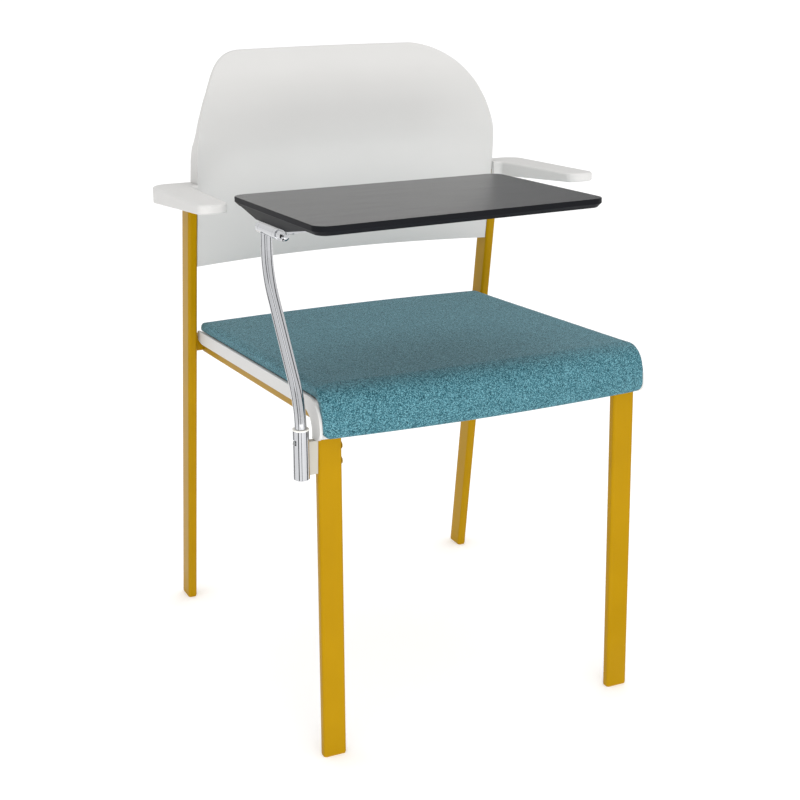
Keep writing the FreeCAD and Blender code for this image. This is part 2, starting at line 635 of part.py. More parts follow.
def pad_front_view(half, high):
    """Front view of the pad, square above and rounded at its two lower corners."""
    low, corner = -size("pad_front_drop"), size("pad_lower_corner")
    behind = size("overall_depth")
    bend = corner * math.cos(math.pi / 4)

    def at(x, z):
        return Vector(x, behind, z)

    wire = path_wire(
        at(-half, high), at(-half, low + corner),
        (at(corner - half - bend, low + corner - bend), at(corner - half, low)), at(half - corner, low),
        (at(half - corner + bend, low + corner - bend), at(half, low + corner)), at(half, high),
        at(-half, high))
    return Part.Face(wire).extrude(Vector(0, -2 * behind, 0))


def make_pad():
    """The upholstered pad: crowned across the seat, rounded along its sides."""
    half, edge = size("seat_width / 2 - pad_side_inset"), size("pad_edge_radius")
    flat, thick, crown = half - edge, size("pad_thick"), size("pad_crown")
    stations = [(flat * share, thick + crown * (1 - share * share)) for share in PAD_STATION_SHARES]
    for share in PAD_EDGE_SHARES:
        angle = math.radians(QUARTER_TURN * share)
        stations.append((flat + edge * math.sin(angle), thick - edge * (1 - math.cos(angle))))
    mirrored = [(-across, top) for across, top in stations[:0:-1]]
    wires = [pad_section(across, top) for across, top in mirrored + stations]
    block = Part.makeLoft(wires, True, True)
    return tilt_seat(from_code("seat_pad", block.common(pad_front_view(half, 2 * thick + crown))))


def screw(name, shank_long, place, rotation=None, tall="screw_head_tall"):
    """A screw whose tapering head ends at its own zero height and whose shank points up."""
    head = "screw_head / 2"
    profile = (("0", f"0 - {tall}"), (f"{head} - {tall} / 2", f"0 - {tall}"),
               (head, "0"), ("screw_shank / 2", "0"), ("screw_shank / 2", shank_long), ("0", shank_long))
    return turned(name, profile, place, rotation)


def make_seat_screws():
    """Four screws up through the deck into the board."""
    screws = [screw(f"seat_screw_{row}_{hand}", "pan_wall + board_thick",
                    (f"{side} * seat_screw_side", f"0 - seat_screw_{row}", "0 - pan_wall"))
              for row in ("rear", "front") for hand, side in SIDES]
    return tilt_seat(fuse("seat_screws", *screws))


# Back shell and its screws

def back_station(share, curve):
    """Height of a station of the back shell and its front face on the centre line."""
    height = size("back_bottom") + share * size("back_top - back_bottom")
    return height, size("back_lumbar_y") + curve * size("back_roll")


def back_slice(share, curve, front, edge_depth, middle_depth):
    """Level section between an arc set back from the front face and a flatter arc behind it."""
    height, middle = back_station(share, curve)
    half = size("back_width / 2 + cut_overrun")
    edge = middle - size("back_hollow") * (half / size("back_width / 2")) ** 2

    def at(x, y):
        return Vector(x, y, height)

    return path_wire(
        at(-half, edge + front), (at(0, middle + front), at(half, edge + front)), at(half, edge + edge_depth),
        (at(0, middle + middle_depth), at(-half, edge + edge_depth)), at(-half, edge + front))


def back_outline(inset):
    """Front view of the shell: straight sides, rounded shoulders and a flat top edge."""
    half, low = size("back_width / 2") - inset, size("back_bottom") - inset
    top, shoulder = size("back_top") - inset, size("back_shoulder")
    wide, small = size("back_side_radius") - inset, size("back_corner_radius") - inset
    turn = math.asin((top - shoulder - small) / (wide - small))
    middle = (turn + math.pi / 2) / 2
    y = -size("overall_depth")

    def at(x, z):
        return Vector(x, y, z)

    def arm(radius, angle, side, centre):
        return at(side * (centre[0] + radius * math.cos(angle)), centre[1] + radius * math.sin(angle))

    big = (half - wide, shoulder)
    little = (big[0] + (wide - small) * math.cos(turn), big[1] + (wide - small) * math.sin(turn))
    wire = path_wire(
        at(-half, low), at(half, low), at(half, shoulder),
        (arm(wide, turn / 2, 1, big), arm(wide, turn, 1, big)),
        (arm(small, middle, 1, little), arm(small, math.pi / 2, 1, little)),
        arm(small, math.pi / 2, -1, little),
        (arm(small, middle, -1, little), arm(wide, turn, -1, big)),
        (arm(wide, turn / 2, -1, big), at(-half, shoulder)), at(-half, low))
    return Part.Face(wire).extrude(Vector(0, 2 * size("overall_depth"), 0))


def make_back():
    """The back shell: a hollowed, leaning sheet with a side wall that runs out into the top edge."""
    wall, depth = size("back_wall"), size("back_rim_depth")
    behind = size("overall_depth")
    profile = Part.BSplineCurve()
    profile.interpolate([Vector(*point) for point in BACK_SHARES])
    start, span = profile.FirstParameter, profile.LastParameter - profile.FirstParameter
    stations = [profile.value(start + span * step / BACK_STRIPS) for step in range(BACK_STRIPS + 1)]
    blank = Part.makeLoft([back_slice(share, curve, 0, depth * rim, wall + size("cut_overrun"))
                           for share, curve, rim in stations], True, True)
    pocket = Part.makeLoft([back_slice(share, curve, wall, behind, behind)
                            for share, curve, rim in stations], True, True)
    hollow = pocket.common(back_outline(size("back_rim_wall")))
    shell = from_code("back_shell_blank", blank.common(back_outline(0)).cut(hollow))
    return cut("back_shell", shell, *side_drill("back_shell_hole", "screw_shank + 2 * fit_gap"))


def leg_line_y(height):
    """Centre of the rear leg along the chair at a height."""
    return f"(overall_depth / 2 - rear_tube_depth / 2 - rear_leg_lean * ({height}) / rear_leg_top)"


def side_drill(name, width):
    """Cylinders across the chair at the places of the back screws."""
    start = "(rear_leg_spread / 2 - tube_thin - back_screw_reach)"
    return [cylinder(f"{name}_{row}_{hand}", width, "2 * back_screw_reach",
                     (f"{side} * {start}", leg_line_y(f"back_screw_{row}"), f"back_screw_{row}"),
                     Rotation(Vector(0, 1, 0), side * QUARTER_TURN))
            for row in ("low", "high") for hand, side in SIDES]


def make_back_screws():
    """Four screws from inside the shell's side walls into the rear legs."""
    seat = "(back_width / 2 - back_rim_wall)"
    screws = [screw(f"back_screw_{row}_{hand}", "back_screw_reach",
                    (f"{side} * {seat}", leg_line_y(f"back_screw_{row}"), f"back_screw_{row}"),
                    Rotation(Vector(0, 1, 0), side * QUARTER_TURN))
              for row in ("low", "high") for hand, side in SIDES]
    return fuse("back_screws", *screws)


# Arms

def vertical_edges(shape, corners):
    """Names of the upright edges that stand at given corners."""
    names = []
    for index, edge in enumerate(shape.Edges, start=1):
        low = edge.BoundBox
        if low.XLength + low.YLength > low.ZLength / 100:
            continue
        if any(math.hypot(low.XMin - x, low.YMin - y) < size("fit_gap") for x, y in corners):
            names.append(f"Edge{index}")
    return names


def round_corners(body, feature, corners, radius):
    """Round the upright edges of a body at the corners given as expressions."""
    doc.recompute()
    rounding = body.newObject("PartDesign::Fillet", f"{body.Name}_{radius}")
    places = [(size(x), size(y)) for x, y in corners]
    rounding.Base = (feature, vertical_edges(feature.Shape, places))
    bind(rounding, {"Radius": radius})
    return rounding


def make_arm():
    """The arm on the sitter's left: a tapering rest and a bridge over the top of the rear leg."""
    outer, inner_tip = "arm_span / 2", "(arm_span / 2 - arm_tip_wide)"
    inner_rear, bridge = "(arm_span / 2 - arm_rear_wide)", "(arm_rear_y - arm_bridge)"
    end = "(back_width / 2 + arm_back_gap)"
    tip = ((outer, "arm_tip_y"), (inner_tip, "arm_tip_y"))
    rear = ((outer, "arm_rear_y"),)
    elbow = ((inner_rear, bridge),)
    body = doc.addObject("PartDesign::Body", "arm_blank")
    plan = new_sketch("arm_plan", "XY", None, body)
    draw_polygon(plan, (tip[0], rear[0], (end, "arm_rear_y"), (end, bridge), elbow[0], tip[1]))
    pad = body.newObject("PartDesign::Pad", "arm_pad")
    pad.Profile = plan
    bind(pad, {"Length": "arm_rear_top + arm_tip_rise + cut_overrun"})
    feature = round_corners(body, pad, tip, "arm_tip_corner")
    feature = round_corners(body, feature, rear, "arm_rear_corner")
    feature = round_corners(body, feature, elbow, "arm_inner_corner")
    side = new_sketch("arm_side", "YZ", None, body)
    front, back = "(arm_tip_y - cut_overrun)", "(arm_rear_y + cut_overrun)"
    tip_top = "(arm_rear_top + arm_tip_rise)"
    over = f"{tip_top} + 2 * cut_overrun"
    draw_polygon(side, ((front, tip_top), (back, "arm_rear_top"), (back, over), (front, over)))
    draw_polygon(side, ((front, "0 - cut_overrun"), (back, "0 - cut_overrun"),
                        (back, "arm_rear_top - arm_rear_thick"), (front, f"{tip_top} - arm_tip_thick")))
    pocket = body.newObject("PartDesign::Pocket", "arm_taper")
    pocket.Profile = side
    pocket.Type = "ThroughAll"
    pocket.Midplane = True
    doc.recompute()
    rounding = body.newObject("PartDesign::Fillet", "arm_top_edges")
    rounding.Base = (pocket, arm_rim(pocket.Shape, 1))
    bind(rounding, {"Radius": "arm_edge"})
    doc.recompute()
    chamfer = body.newObject("PartDesign::Chamfer", "arm_lower_edges")
    chamfer.Base = (rounding, arm_rim(rounding.Shape, -1))
    bind(chamfer, {"Size": "arm_edge / 2"})
    return body


def arm_rim(shape, way):
    """Names of the edges round the arm's upper (1) or lower (-1) face, apart from the bridge's end."""
    end = size("back_width / 2 + arm_back_gap + fit_gap")
    flat = [face for face in shape.Faces if way * face.normalAt(0, 0).z > math.cos(math.pi / 4)]
    face = max(flat, key=lambda face: face.Area)
    return [f"Edge{index}" for index, edge in enumerate(shape.Edges, start=1)
            if edge.BoundBox.XMax > end and any(edge.isSame(rim) for rim in face.Edges)]


def make_arms(rear_legs):
    """Both arms, each with a socket for the top of its leg."""
    left = make_arm()
    right = doc.addObject("Part::Mirroring", "arm_mirror")
    right.Source = left
    right.Normal = Vector(1, 0, 0)
    arms = []
    for (hand, side), blank in zip(SIDES, (right, left)):
        socket = slanted_bar(f"arm_socket_{hand}", leg_line("rear", side),
                             "arm_rear_top - 2 * arm_rear_thick", "rear_leg_top + fit_gap",
                             "0 - fit_gap", "tube_corner + fit_gap")
        hole = cylinder(f"arm_hole_{hand}", "screw_shank + 2 * fit_gap", "arm_screw_reach + cut_overrun",
                        arm_screw_place(side), ALONG_Y_BACK)
        arms.append(cut(f"arm_{hand}", blank, socket, hole))
    return arms


def arm_screw_place(side):
    """Where an arm screw's head seats on the rear of the bridge."""
    return (f"{side} * (rear_leg_spread - tube_thin) / 2", "arm_rear_y", "arm_screw_height")


def make_arm_screws():
    """Two screws from the rear of the bridges into the legs."""
    screws = [screw(f"arm_screw_{hand}", "arm_screw_reach", arm_screw_place(side), ALONG_Y_BACK)
              for hand, side in SIDES]
    return fuse("arm_screws", *screws)


# Tablet, bracket, hinge and screws, drawn level from the hinge's axis over the post and then tilted

POST_TOP_Y = "(post_y + post_offset)"
BARREL_START = "(barrel_behind - barrel_long)"
LEAF_START = f"({BARREL_START} - hinge_gap - knuckle_long)"
LEAF_END = "(barrel_behind + hinge_gap + knuckle_long)"
REAR_KNUCKLE = "(barrel_behind + hinge_gap)"
BEVEL_TOP = "(tablet_rise + tablet_bevel)"
TABLET_TURN = Rotation(Vector(1, 0, 0), -size("tablet_tilt"))


def tilt_tablet(thing):
    """Set a part of the tablet on its slope over the post."""
    return move(thing, axis_place("0"), TABLET_TURN)


def axis_place(reach):
    """The place on the sloping hinge axis at a distance behind the post's centre line."""
    return ("post_x", f"{POST_TOP_Y} + ({reach}) * cos(tablet_tilt)",
            f"hinge_height - ({reach}) * sin(tablet_tilt)")


def axis_bar(name, width, start, long):
    """A cylinder along the hinge's axis."""
    return cylinder(name, width, long, ("0", start, "0"), ALONG_Y)


def make_tablet():
    """The writing surface and the moulded bracket that wraps its undercut bevel."""
    left, right = "(0 - tablet_overhang)", "(tablet_wide - tablet_overhang)"
    rear = "tablet_rear_reach"
    corners = ((left, f"{rear} - tablet_deep_left"), (right, f"{rear} - tablet_deep_right"),
               (right, rear), (left, rear))
    body = doc.addObject("PartDesign::Body", "tablet_slab")
    pad = body.newObject("PartDesign::Pad", "tablet_pad")
    pad.Profile = draw_polygon(new_sketch("tablet_outline", "XY", None, body), corners)
    bind(pad, {"Length": "tablet_thick"})
    feature = round_corners(body, pad, corners, "tablet_corner")
    for name, level, width in (("undercut", 0, "tablet_bevel"),
                               ("arris", size("tablet_thick"), "tablet_arris")):
        doc.recompute()
        chamfer = body.newObject("PartDesign::Chamfer", "tablet_" + name)
        rim = [f"Edge{index}" for index, edge in enumerate(feature.Shape.Edges, start=1)
               if abs(edge.BoundBox.ZMin - level) + abs(edge.BoundBox.ZMax - level) < size("fit_gap")]
        chamfer.Base = (feature, rim)
        bind(chamfer, {"Size": width})
        feature = chamfer
    move(body, ("0", "0", "tablet_rise"))
    holes = tablet_drill("tablet_hole", "tablet_rise - cut_overrun", "tablet_rise + tablet_screw_reach")
    top = cut("tablet_top", body, *holes)
    low = ("bracket_low_start", "bracket_low_end"), (LEAF_START, LEAF_END), "leaf_thick"
    high = ((f"{left} + bracket_inset", "bracket_top_end"),
            (f"{rear} - tablet_deep_left + bracket_end_inset", f"{rear} - bracket_end_inset"), BEVEL_TOP)
    sections = []
    for name, (xs, ys, height) in (("low", low), ("high", high)):
        sketch = new_sketch(f"bracket_{name}", "XY", ("0", "0", height))
        sections.append(draw_polygon(sketch, [(xs[i], ys[j]) for i, j in ((0, 0), (1, 0), (1, 1), (0, 1))]))
    block = doc.addObject("Part::Loft", "bracket_block")
    block.Sections = sections
    block.Solid = True
    block.Ruled = True
    groove = axis_bar("bracket_groove", "barrel_width + 2 * soft_gap", "0 - tablet_wide", "2 * tablet_wide")
    holes = tablet_drill("bracket_hole", "0 - cut_overrun", f"{BEVEL_TOP} + cut_overrun")
    bracket = cut("tablet_bracket", block, body, groove, *holes)
    return [tilt_tablet(top), tilt_tablet(bracket)]


def tablet_screw_places():
    """The four tablet screws, near the corners of the hinge leaf."""
    return [(x, y) for x in ("tablet_screw_near", "tablet_screw_far")
            for y in (f"{LEAF_START} + tablet_screw_inset", f"{LEAF_END} - tablet_screw_inset")]


def tablet_drill(name, low, high):
    """Upright cylinders at the places of the tablet screws."""
    return [cylinder(f"{name}_{index}", "screw_shank + 2 * fit_gap", f"({high}) - ({low})", (x, y, low))
            for index, (x, y) in enumerate(tablet_screw_places())]


def make_tablet_screws():
    """Four screws up through the leaf and the bracket into the tablet."""
    screws = [screw(f"tablet_screw_{index}", "tablet_rise + tablet_screw_reach - fit_gap", (x, y, "0"))
              for index, (x, y) in enumerate(tablet_screw_places())]
    return tilt_tablet(fuse("tablet_screws", *screws))


def make_leaf():
    """The hinge leaf: a plate under the bracket with a knuckle at each end of the barrel."""
    solids = [box("leaf_plate", ("leaf_offset", LEAF_START, "0"), ("leaf_wide", LEAF_END, "leaf_thick"))]
    for end, start in (("front", LEAF_START), ("rear", REAR_KNUCKLE)):
        solids.append(axis_bar(f"leaf_knuckle_{end}", "barrel_width", start, "knuckle_long"))
        solids.append(box(f"leaf_neck_{end}", ("0", start, "0"),
                          ("2 * leaf_offset", f"{start} + knuckle_long", "leaf_thick")))
    bore = axis_bar("leaf_bore", "hinge_pin_width", f"{LEAF_START} - cut_overrun",
                    f"{LEAF_END} - {LEAF_START} + 2 * cut_overrun")
    holes = tablet_drill("leaf_hole", "0 - cut_overrun", "leaf_thick + cut_overrun")
    return tilt_tablet(cut("hinge_leaf", fuse("leaf_blank", *solids), bore, *holes))


def make_hinge():
    """The barrel with its stop lug, two bushes, and the pin with its cap and nut."""
    bush = "(hinge_pin_width / 2 + hinge_bush_wall + fit_gap)"
    barrel = axis_bar("barrel_tube", "barrel_width", BARREL_START, "barrel_long")
    lug = box("barrel_lug", ("0", "0 - stop_lug_ahead - stop_lug_long", "0 - stop_gap - stop_lug_thick"),
              ("stop_lug_reach", "0 - stop_lug_ahead", "0 - stop_gap"))
    hole = axis_bar("barrel_bore", f"2 * {bush} + 2 * fit_gap", f"{BARREL_START} - cut_overrun",
                    "barrel_long + 2 * cut_overrun")
    parts = [tilt_tablet(cut("hinge_barrel", fuse("barrel_blank", barrel, lug), hole))]
    running, turn = "(hinge_pin_width / 2 + fit_gap)", TABLET_TURN * ALONG_Y
    for end, place in (("front", BARREL_START), ("rear", "barrel_behind - hinge_bush_long")):
        profile = ((running, "0"), (bush, "0"), (bush, "hinge_bush_long"), (running, "hinge_bush_long"))
        parts.append(turned(f"hinge_bush_{end}", profile, axis_place(place), turn))
    pin, cap, nut = "hinge_pin_width / 2", "hinge_cap_width / 2", "hinge_nut_width / 2"
    grip = f"({LEAF_END} - {LEAF_START})"
    profile = (("0", "0 - hinge_cap_long"), (f"{cap} / 2", f"0 - hinge_cap_long + {cap} / 12"),
               (f"{cap} / 1.15", f"0 - hinge_cap_long + {cap} / 2.5"), (cap, f"0 - hinge_cap_long + {cap}"),
               (cap, "0"), (pin, "0"), (pin, f"{grip} + hinge_nut_long"), ("0", f"{grip} + hinge_nut_long"))
    parts.append(turned("hinge_pin", profile, axis_place(LEAF_START), turn))
    ring = ((pin, "0"), (nut, "0"), (nut, "hinge_nut_long"), (pin, "hinge_nut_long"))
    parts.append(turned("hinge_nut", ring, axis_place(LEAF_END), turn))
    return parts


# Post and its stop pin

POST_TOP_Z = "(hinge_height - barrel_width / 4)"


def make_post():
    """The cranked post: upright in the sleeve, two equal bends, upright again under the barrel."""
    body = doc.addObject("PartDesign::Body", "post_bar")
    path = new_sketch("post_path", "YZ", None, body)
    radius, angle = size("post_bend_radius"), math.radians(size("post_bend_angle"))
    foot, bend = size("post_foot_height"), size("post_bend_height")
    top, offset = size(POST_TOP_Z), size("post_offset")
    slope_y = offset - 2 * radius * (1 - math.cos(angle))
    slope_z = slope_y / math.tan(angle)
    low_centre = Vector(radius, bend, 0)
    low_end = low_centre + Vector(-math.cos(angle), math.sin(angle), 0) * radius
    high_start = low_end + Vector(slope_y, slope_z, 0)
    high_centre = high_start + Vector(-math.cos(angle), math.sin(angle), 0) * radius
    high_end = high_centre + Vector(radius, 0, 0)
    normal = Vector(0, 0, 1)
    path.addGeometry(Part.LineSegment(Vector(0, foot, 0), Vector(0, bend, 0)))
    path.addGeometry(Part.ArcOfCircle(Part.Circle(low_centre, normal, radius), math.pi - angle, math.pi))
    path.addGeometry(Part.LineSegment(low_end, high_start))
    path.addGeometry(Part.ArcOfCircle(Part.Circle(high_centre, normal, radius), -angle, 0))
    path.addGeometry(Part.LineSegment(high_end, Vector(offset, top, 0)))
    for joint in ((0, 2, 1, 2), (1, 1, 2, 1), (2, 2, 3, 1), (3, 2, 4, 1)):
        path.addConstraint(Sketcher.Constraint("Tangent", *joint))
    for line in (0, 4):
        path.addConstraint(Sketcher.Constraint("Vertical", line))
    path.addConstraint(Sketcher.Constraint("Equal", 1, 3))
    path.addConstraint(Sketcher.Constraint("PointOnObject", 0, 1, -2))
    for constraint, expression in (
            (Sketcher.Constraint("Radius", 1, radius), "post_bend_radius"),
            (Sketcher.Constraint("DistanceY", -1, 1, 0, 1, foot), "post_foot_height"),
            (Sketcher.Constraint("DistanceY", -1, 1, 0, 2, bend), "post_bend_height"),
            (Sketcher.Constraint("DistanceX", -1, 1, 4, 2, offset), "post_offset"),
            (Sketcher.Constraint("DistanceY", -1, 1, 4, 2, top), POST_TOP_Z),
            (Sketcher.Constraint("Angle", -1, 1, 2, 1, math.pi / 2 - angle), "90 - post_bend_angle")):
        path.setExpression(f"Constraints[{path.addConstraint(constraint)}]", bound(expression))
    section = new_sketch("post_section", "XY", None, body)
    section.addGeometry(Part.Circle(Vector(0, 0, 0), normal, size("post_width / 2")))
    section.addConstraint(Sketcher.Constraint("Coincident", 0, 3, -1, 1))
    index = section.addConstraint(Sketcher.Constraint("Diameter", 0, size("post_width")))
    section.setExpression(f"Constraints[{index}]", bound("post_width"))
    bind(section, {"AttachmentOffset.Base.z": "post_foot_height"})
    pipe = body.newObject("PartDesign::AdditivePipe", "post_pipe")
    pipe.Profile = section
    pipe.Spine = path
    move(body, ("post_x", "post_y", "0"))
    barrel = cylinder("post_cope", "barrel_width", "2 * barrel_long", axis_place("0 - barrel_long"),
                      TABLET_TURN * ALONG_Y)
    return cut("post", body, barrel, stop_pin_bar("post_pin_hole"))


SLOT_TALL = "(stop_pin_width + 2 * slot_gap)"
SLOT_MARGIN = "((stop_pin_width / 2 + slot_gap) / (sleeve_width / 2 - sleeve_wall) * 180 / pi)"


def stop_pin_bar(name):
    """The stop pin's cylinder, from inside the post out to the sleeve's surface."""
    turn = Rotation(Vector(0, 0, 1), size("stop_pin_angle")) * ALONG_X
    inner = "(post_width / 4)"
    place = (f"post_x + {inner} * cos(stop_pin_angle)", f"post_y + {inner} * sin(stop_pin_angle)",
             f"slot_bottom + {SLOT_TALL} / 2")
    return cylinder(name, "stop_pin_width", f"sleeve_width / 2 - {inner}", place, turn)


# Socket on the front leg: sleeve, bushes, plug, bracket and screws

def make_socket(front_leg):
    """The pieces that carry the post on the sitter's right front leg."""
    bore, foot = "(sleeve_width / 2 - sleeve_wall)", ("post_x", "post_y", "0")
    tube = turned("sleeve_tube", (
        (bore, "sleeve_bottom"), ("sleeve_width / 2 - sleeve_edge", "sleeve_bottom"),
        ("sleeve_width / 2", "sleeve_bottom + sleeve_edge"), ("sleeve_width / 2", "sleeve_top"),
        (bore, "sleeve_top")), foot)
    slot = doc.addObject("Part::Cylinder", "sleeve_slot")
    bind(slot, {"Radius": "sleeve_width", "Height": SLOT_TALL, "Angle": f"swing_range + 2 * {SLOT_MARGIN}"})
    move(slot, ("post_x", "post_y", "slot_bottom"),
         Rotation(Vector(0, 0, 1), size(f"stop_pin_angle - swing_range - {SLOT_MARGIN}")))
    sleeve = cut("socket_sleeve", tube, slot)
    inner, outer = "(post_width / 2 + fit_gap)", f"({bore} - fit_gap)"
    upper = turned("socket_bush_upper", (
        (inner, "sleeve_top - bush_upper_long"), (outer, "sleeve_top - bush_upper_long"),
        (outer, "sleeve_top"), ("sleeve_width / 2", "sleeve_top"),
        ("sleeve_width / 2", "sleeve_top + bush_rim"), (inner, "sleeve_top + bush_rim")), foot)
    lower = turned("socket_bush_lower", (
        (inner, "bush_lower_height"), (outer, "bush_lower_height"),
        (outer, "bush_lower_height + bush_lower_long"), (inner, "bush_lower_height + bush_lower_long")), foot)
    plug = turned("socket_plug", (
        ("0", "sleeve_bottom"), (outer, "sleeve_bottom"), (outer, "sleeve_bottom + socket_plug_tall"),
        ("0", "sleeve_bottom + socket_plug_tall")), foot)
    return [sleeve, upper, lower, plug] + make_web(front_leg)


WEB_HEAD = "(0 - front_leg_spread / 2 + tube_wide + front_leg_lean_in)"
WEB_FACE = "(0 - front_leg_spread / 2 + front_leg_lean_in)"
WEB_SCREW_HEIGHTS = ("web_bottom + web_screw_margin", "web_bottom + web_tall - web_screw_margin")


def web_screw_bars(name, width, start, long):
    """Cylinders across the chair at the places of the two bracket screws."""
    y = "post_y + web_ahead + web_thick / 2"
    return [cylinder(f"{name}_{index}", width, long, (start, y, z), Rotation(Vector(0, 1, 0), -QUARTER_TURN))
            for index, z in enumerate(WEB_SCREW_HEIGHTS)]


def make_web(front_leg):
    """The bracket between the sleeve and the leg, and its two screws through the leg."""
    plate = box("web_plate", ("post_x", "post_y + web_ahead", "web_bottom"),
                (f"{WEB_FACE} + weld_depth", "post_y + web_ahead + web_thick", "web_bottom + web_tall"))
    core = cylinder("web_core", "sleeve_width", "web_tall + 2 * cut_overrun",
                    ("post_x", "post_y", "web_bottom - cut_overrun"))
    reach = "(tube_wide + web_screw_bite)"
    holes = web_screw_bars("web_hole", "screw_shank + 2 * fit_gap", WEB_HEAD, reach)
    web = cut("socket_bracket", plate, core, front_leg, *holes)
    screws = []
    for index, z in enumerate(WEB_SCREW_HEIGHTS):
        place = (WEB_HEAD, "post_y + web_ahead + web_thick / 2", z)
        screws.append(screw(f"socket_screw_{index}", reach, place, Rotation(Vector(0, 1, 0), -QUARTER_TURN),
                            "web_screw_head"))
    return [web, fuse("socket_screws", *screws)]


def drill_leg(tube, rank, hand, side):
    """The leg's tube with the holes for the screws that enter it."""
    width, name = "screw_shank + 2 * fit_gap", tube.Label
    if rank == "rear":
        holes = [hole for hole in side_drill(f"{name}_hole", width) if hole.Name.endswith(hand)]
        holes.append(cylinder(f"{name}_arm_hole", width, "arm_screw_reach + cut_overrun",
                              arm_screw_place(side), ALONG_Y_BACK))
    elif hand == "right":
        holes = web_screw_bars(f"{name}_hole", width, f"{WEB_HEAD} + 2 * cut_overrun",
                               "tube_wide + 4 * cut_overrun")
    else:
        return tube
    tube.Label = name + "_plain"
    drilled = cut(name + "_drilled", tube, *holes)
    drilled.Label = name
    return drilled


def main():
    """Build every part, check it and write it out."""
    parts, outers = [], {}
    for rank in ("front", "rear"):
        for hand, side in SIDES:
            outers[rank, hand], tube, glide = make_leg(rank, hand, side)
            parts += [glide, drill_leg(tube, rank, hand, side)]
    front_legs = [outers["front", hand] for hand, side in SIDES]
    rear_legs = [outers["rear", hand] for hand, side in SIDES]
    parts += [make_rail(hand, side, outers["front", hand]) for hand, side in SIDES]
    parts += make_cross_tubes(front_legs, rear_legs)
    parts += [make_pan(), make_board(), make_pad(), make_seat_screws()]
    parts += [make_back(), make_back_screws()]
    parts += make_arms(rear_legs) + [make_arm_screws()]
    parts += make_tablet() + [make_tablet_screws(), make_leaf()]
    stop_pin = stop_pin_bar("stop_pin")
    parts += make_hinge() + [make_post(), stop_pin]
    parts += make_socket(outers["front", "right"])
    doc.recompute()
    for thing in doc.Objects:
        if {"Invalid", "Error"} & set(thing.State):
            raise RuntimeError(f"{thing.Label} failed: {thing.State}")
    os.makedirs("parts", exist_ok=True)
    for thing in parts:
        if thing.Shape.isNull() or not thing.Shape.isValid() or not thing.Shape.Solids:
            raise RuntimeError(f"{thing.Label} has no valid shape")
    for thing in parts:
        thing.Shape.exportStep(f"parts/{thing.Label}.step")
        print(thing.Label, len(thing.Shape.Solids), round(thing.Shape.Volume))


main()
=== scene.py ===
# %% [markdown]
# # An armchair with a swinging writing tablet
# The real object is a stacking conference chair: four coated steel legs, a moulded back, two moulded
# arms, an upholstered seat and a dark tablet that turns aside on a chromed post. The CAD model holds
# every hard piece in its right shape and place, so this lesson loads it as a fixed frame and gives
# each piece its finish. New geometry is made only for the cushion's cloth, for the back's soft curve
# and for the tablet's top, which wears two finishes.

# %% Load the frame
import json
import math

import bmesh
import bpy
import numpy as np
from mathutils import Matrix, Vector
from mathutils.kdtree import KDTree


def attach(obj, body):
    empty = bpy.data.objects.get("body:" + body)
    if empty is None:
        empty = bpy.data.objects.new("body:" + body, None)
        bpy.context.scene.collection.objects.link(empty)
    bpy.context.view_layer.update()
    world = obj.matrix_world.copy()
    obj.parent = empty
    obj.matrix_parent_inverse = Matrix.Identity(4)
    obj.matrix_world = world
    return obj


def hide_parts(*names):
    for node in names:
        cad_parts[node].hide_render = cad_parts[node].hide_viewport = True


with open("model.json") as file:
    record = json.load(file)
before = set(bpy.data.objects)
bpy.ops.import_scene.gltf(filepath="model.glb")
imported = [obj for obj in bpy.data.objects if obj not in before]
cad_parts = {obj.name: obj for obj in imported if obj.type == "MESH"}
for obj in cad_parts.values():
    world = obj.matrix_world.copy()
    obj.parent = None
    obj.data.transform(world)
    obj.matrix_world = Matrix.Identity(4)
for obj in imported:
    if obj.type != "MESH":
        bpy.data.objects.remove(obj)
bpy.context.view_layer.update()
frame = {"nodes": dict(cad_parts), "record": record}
nodes = frame["nodes"]
print("pieces:", len(nodes))

# %% [markdown]
# ## The camera
# The view was found by matching the legs, the arms and the tablet to the photograph: a camera one
# metre above the floor and two metres off, looking down at the chair's front from the side where the
# post stands, through a mildly long lens. A long lens keeps the legs nearly parallel, as a catalogue
# picture does.

# %% Place the camera
CAMERA_AT = Vector((-0.8163, -1.7197, 1.0030))
CAMERA_AIM = Vector((-0.02373, -0.02935, 0.37712))
SENSOR_MM = 36.0
LENS_MM = 67.11
SEES_TO_METRES = 200.0

lens = bpy.data.cameras.new("view")
lens.sensor_width = SENSOR_MM
lens.lens = LENS_MM
lens.clip_end = SEES_TO_METRES
camera = bpy.data.objects.new("view", lens)
bpy.context.scene.collection.objects.link(camera)
camera.location = CAMERA_AT
camera.rotation_euler = (CAMERA_AIM - CAMERA_AT).to_track_quat("-Z", "Y").to_euler()
bpy.context.scene.camera = camera
print("camera to chair:", round((CAMERA_AIM - CAMERA_AT).length, 3), "m")

# %% [markdown]
# ## Helpers for finishes
# Colours are picked as sRGB hex values, because that is what the eye and a paint chart give. Cycles
# works in linear light, so one function turns them. A second function adds a node with its settings
# and its links in one call, which keeps each recipe short enough to read at a glance, and two more
# open and close a material. Blender numbers the sockets of a Mix node, so the ones that the recipes
# use get names here.

# %% Colour and node helpers
MM = 0.001
FACTOR, VALUE_A, VALUE_B, COLOUR_A, COLOUR_B = 0, 2, 3, 6, 7
MIXED_VALUE, MIXED_COLOUR = 0, 2


def linear(hex_colour):
    """An sRGB hex colour as a linear RGBA tuple, by the sRGB standard's own curve."""
    values = [int(hex_colour[i:i + 2], 16) / 255 for i in (1, 3, 5)]
    return tuple(v / 12.92 if v <= 0.04045 else ((v + 0.055) / 1.055) ** 2.4 for v in values) + (1.0,)


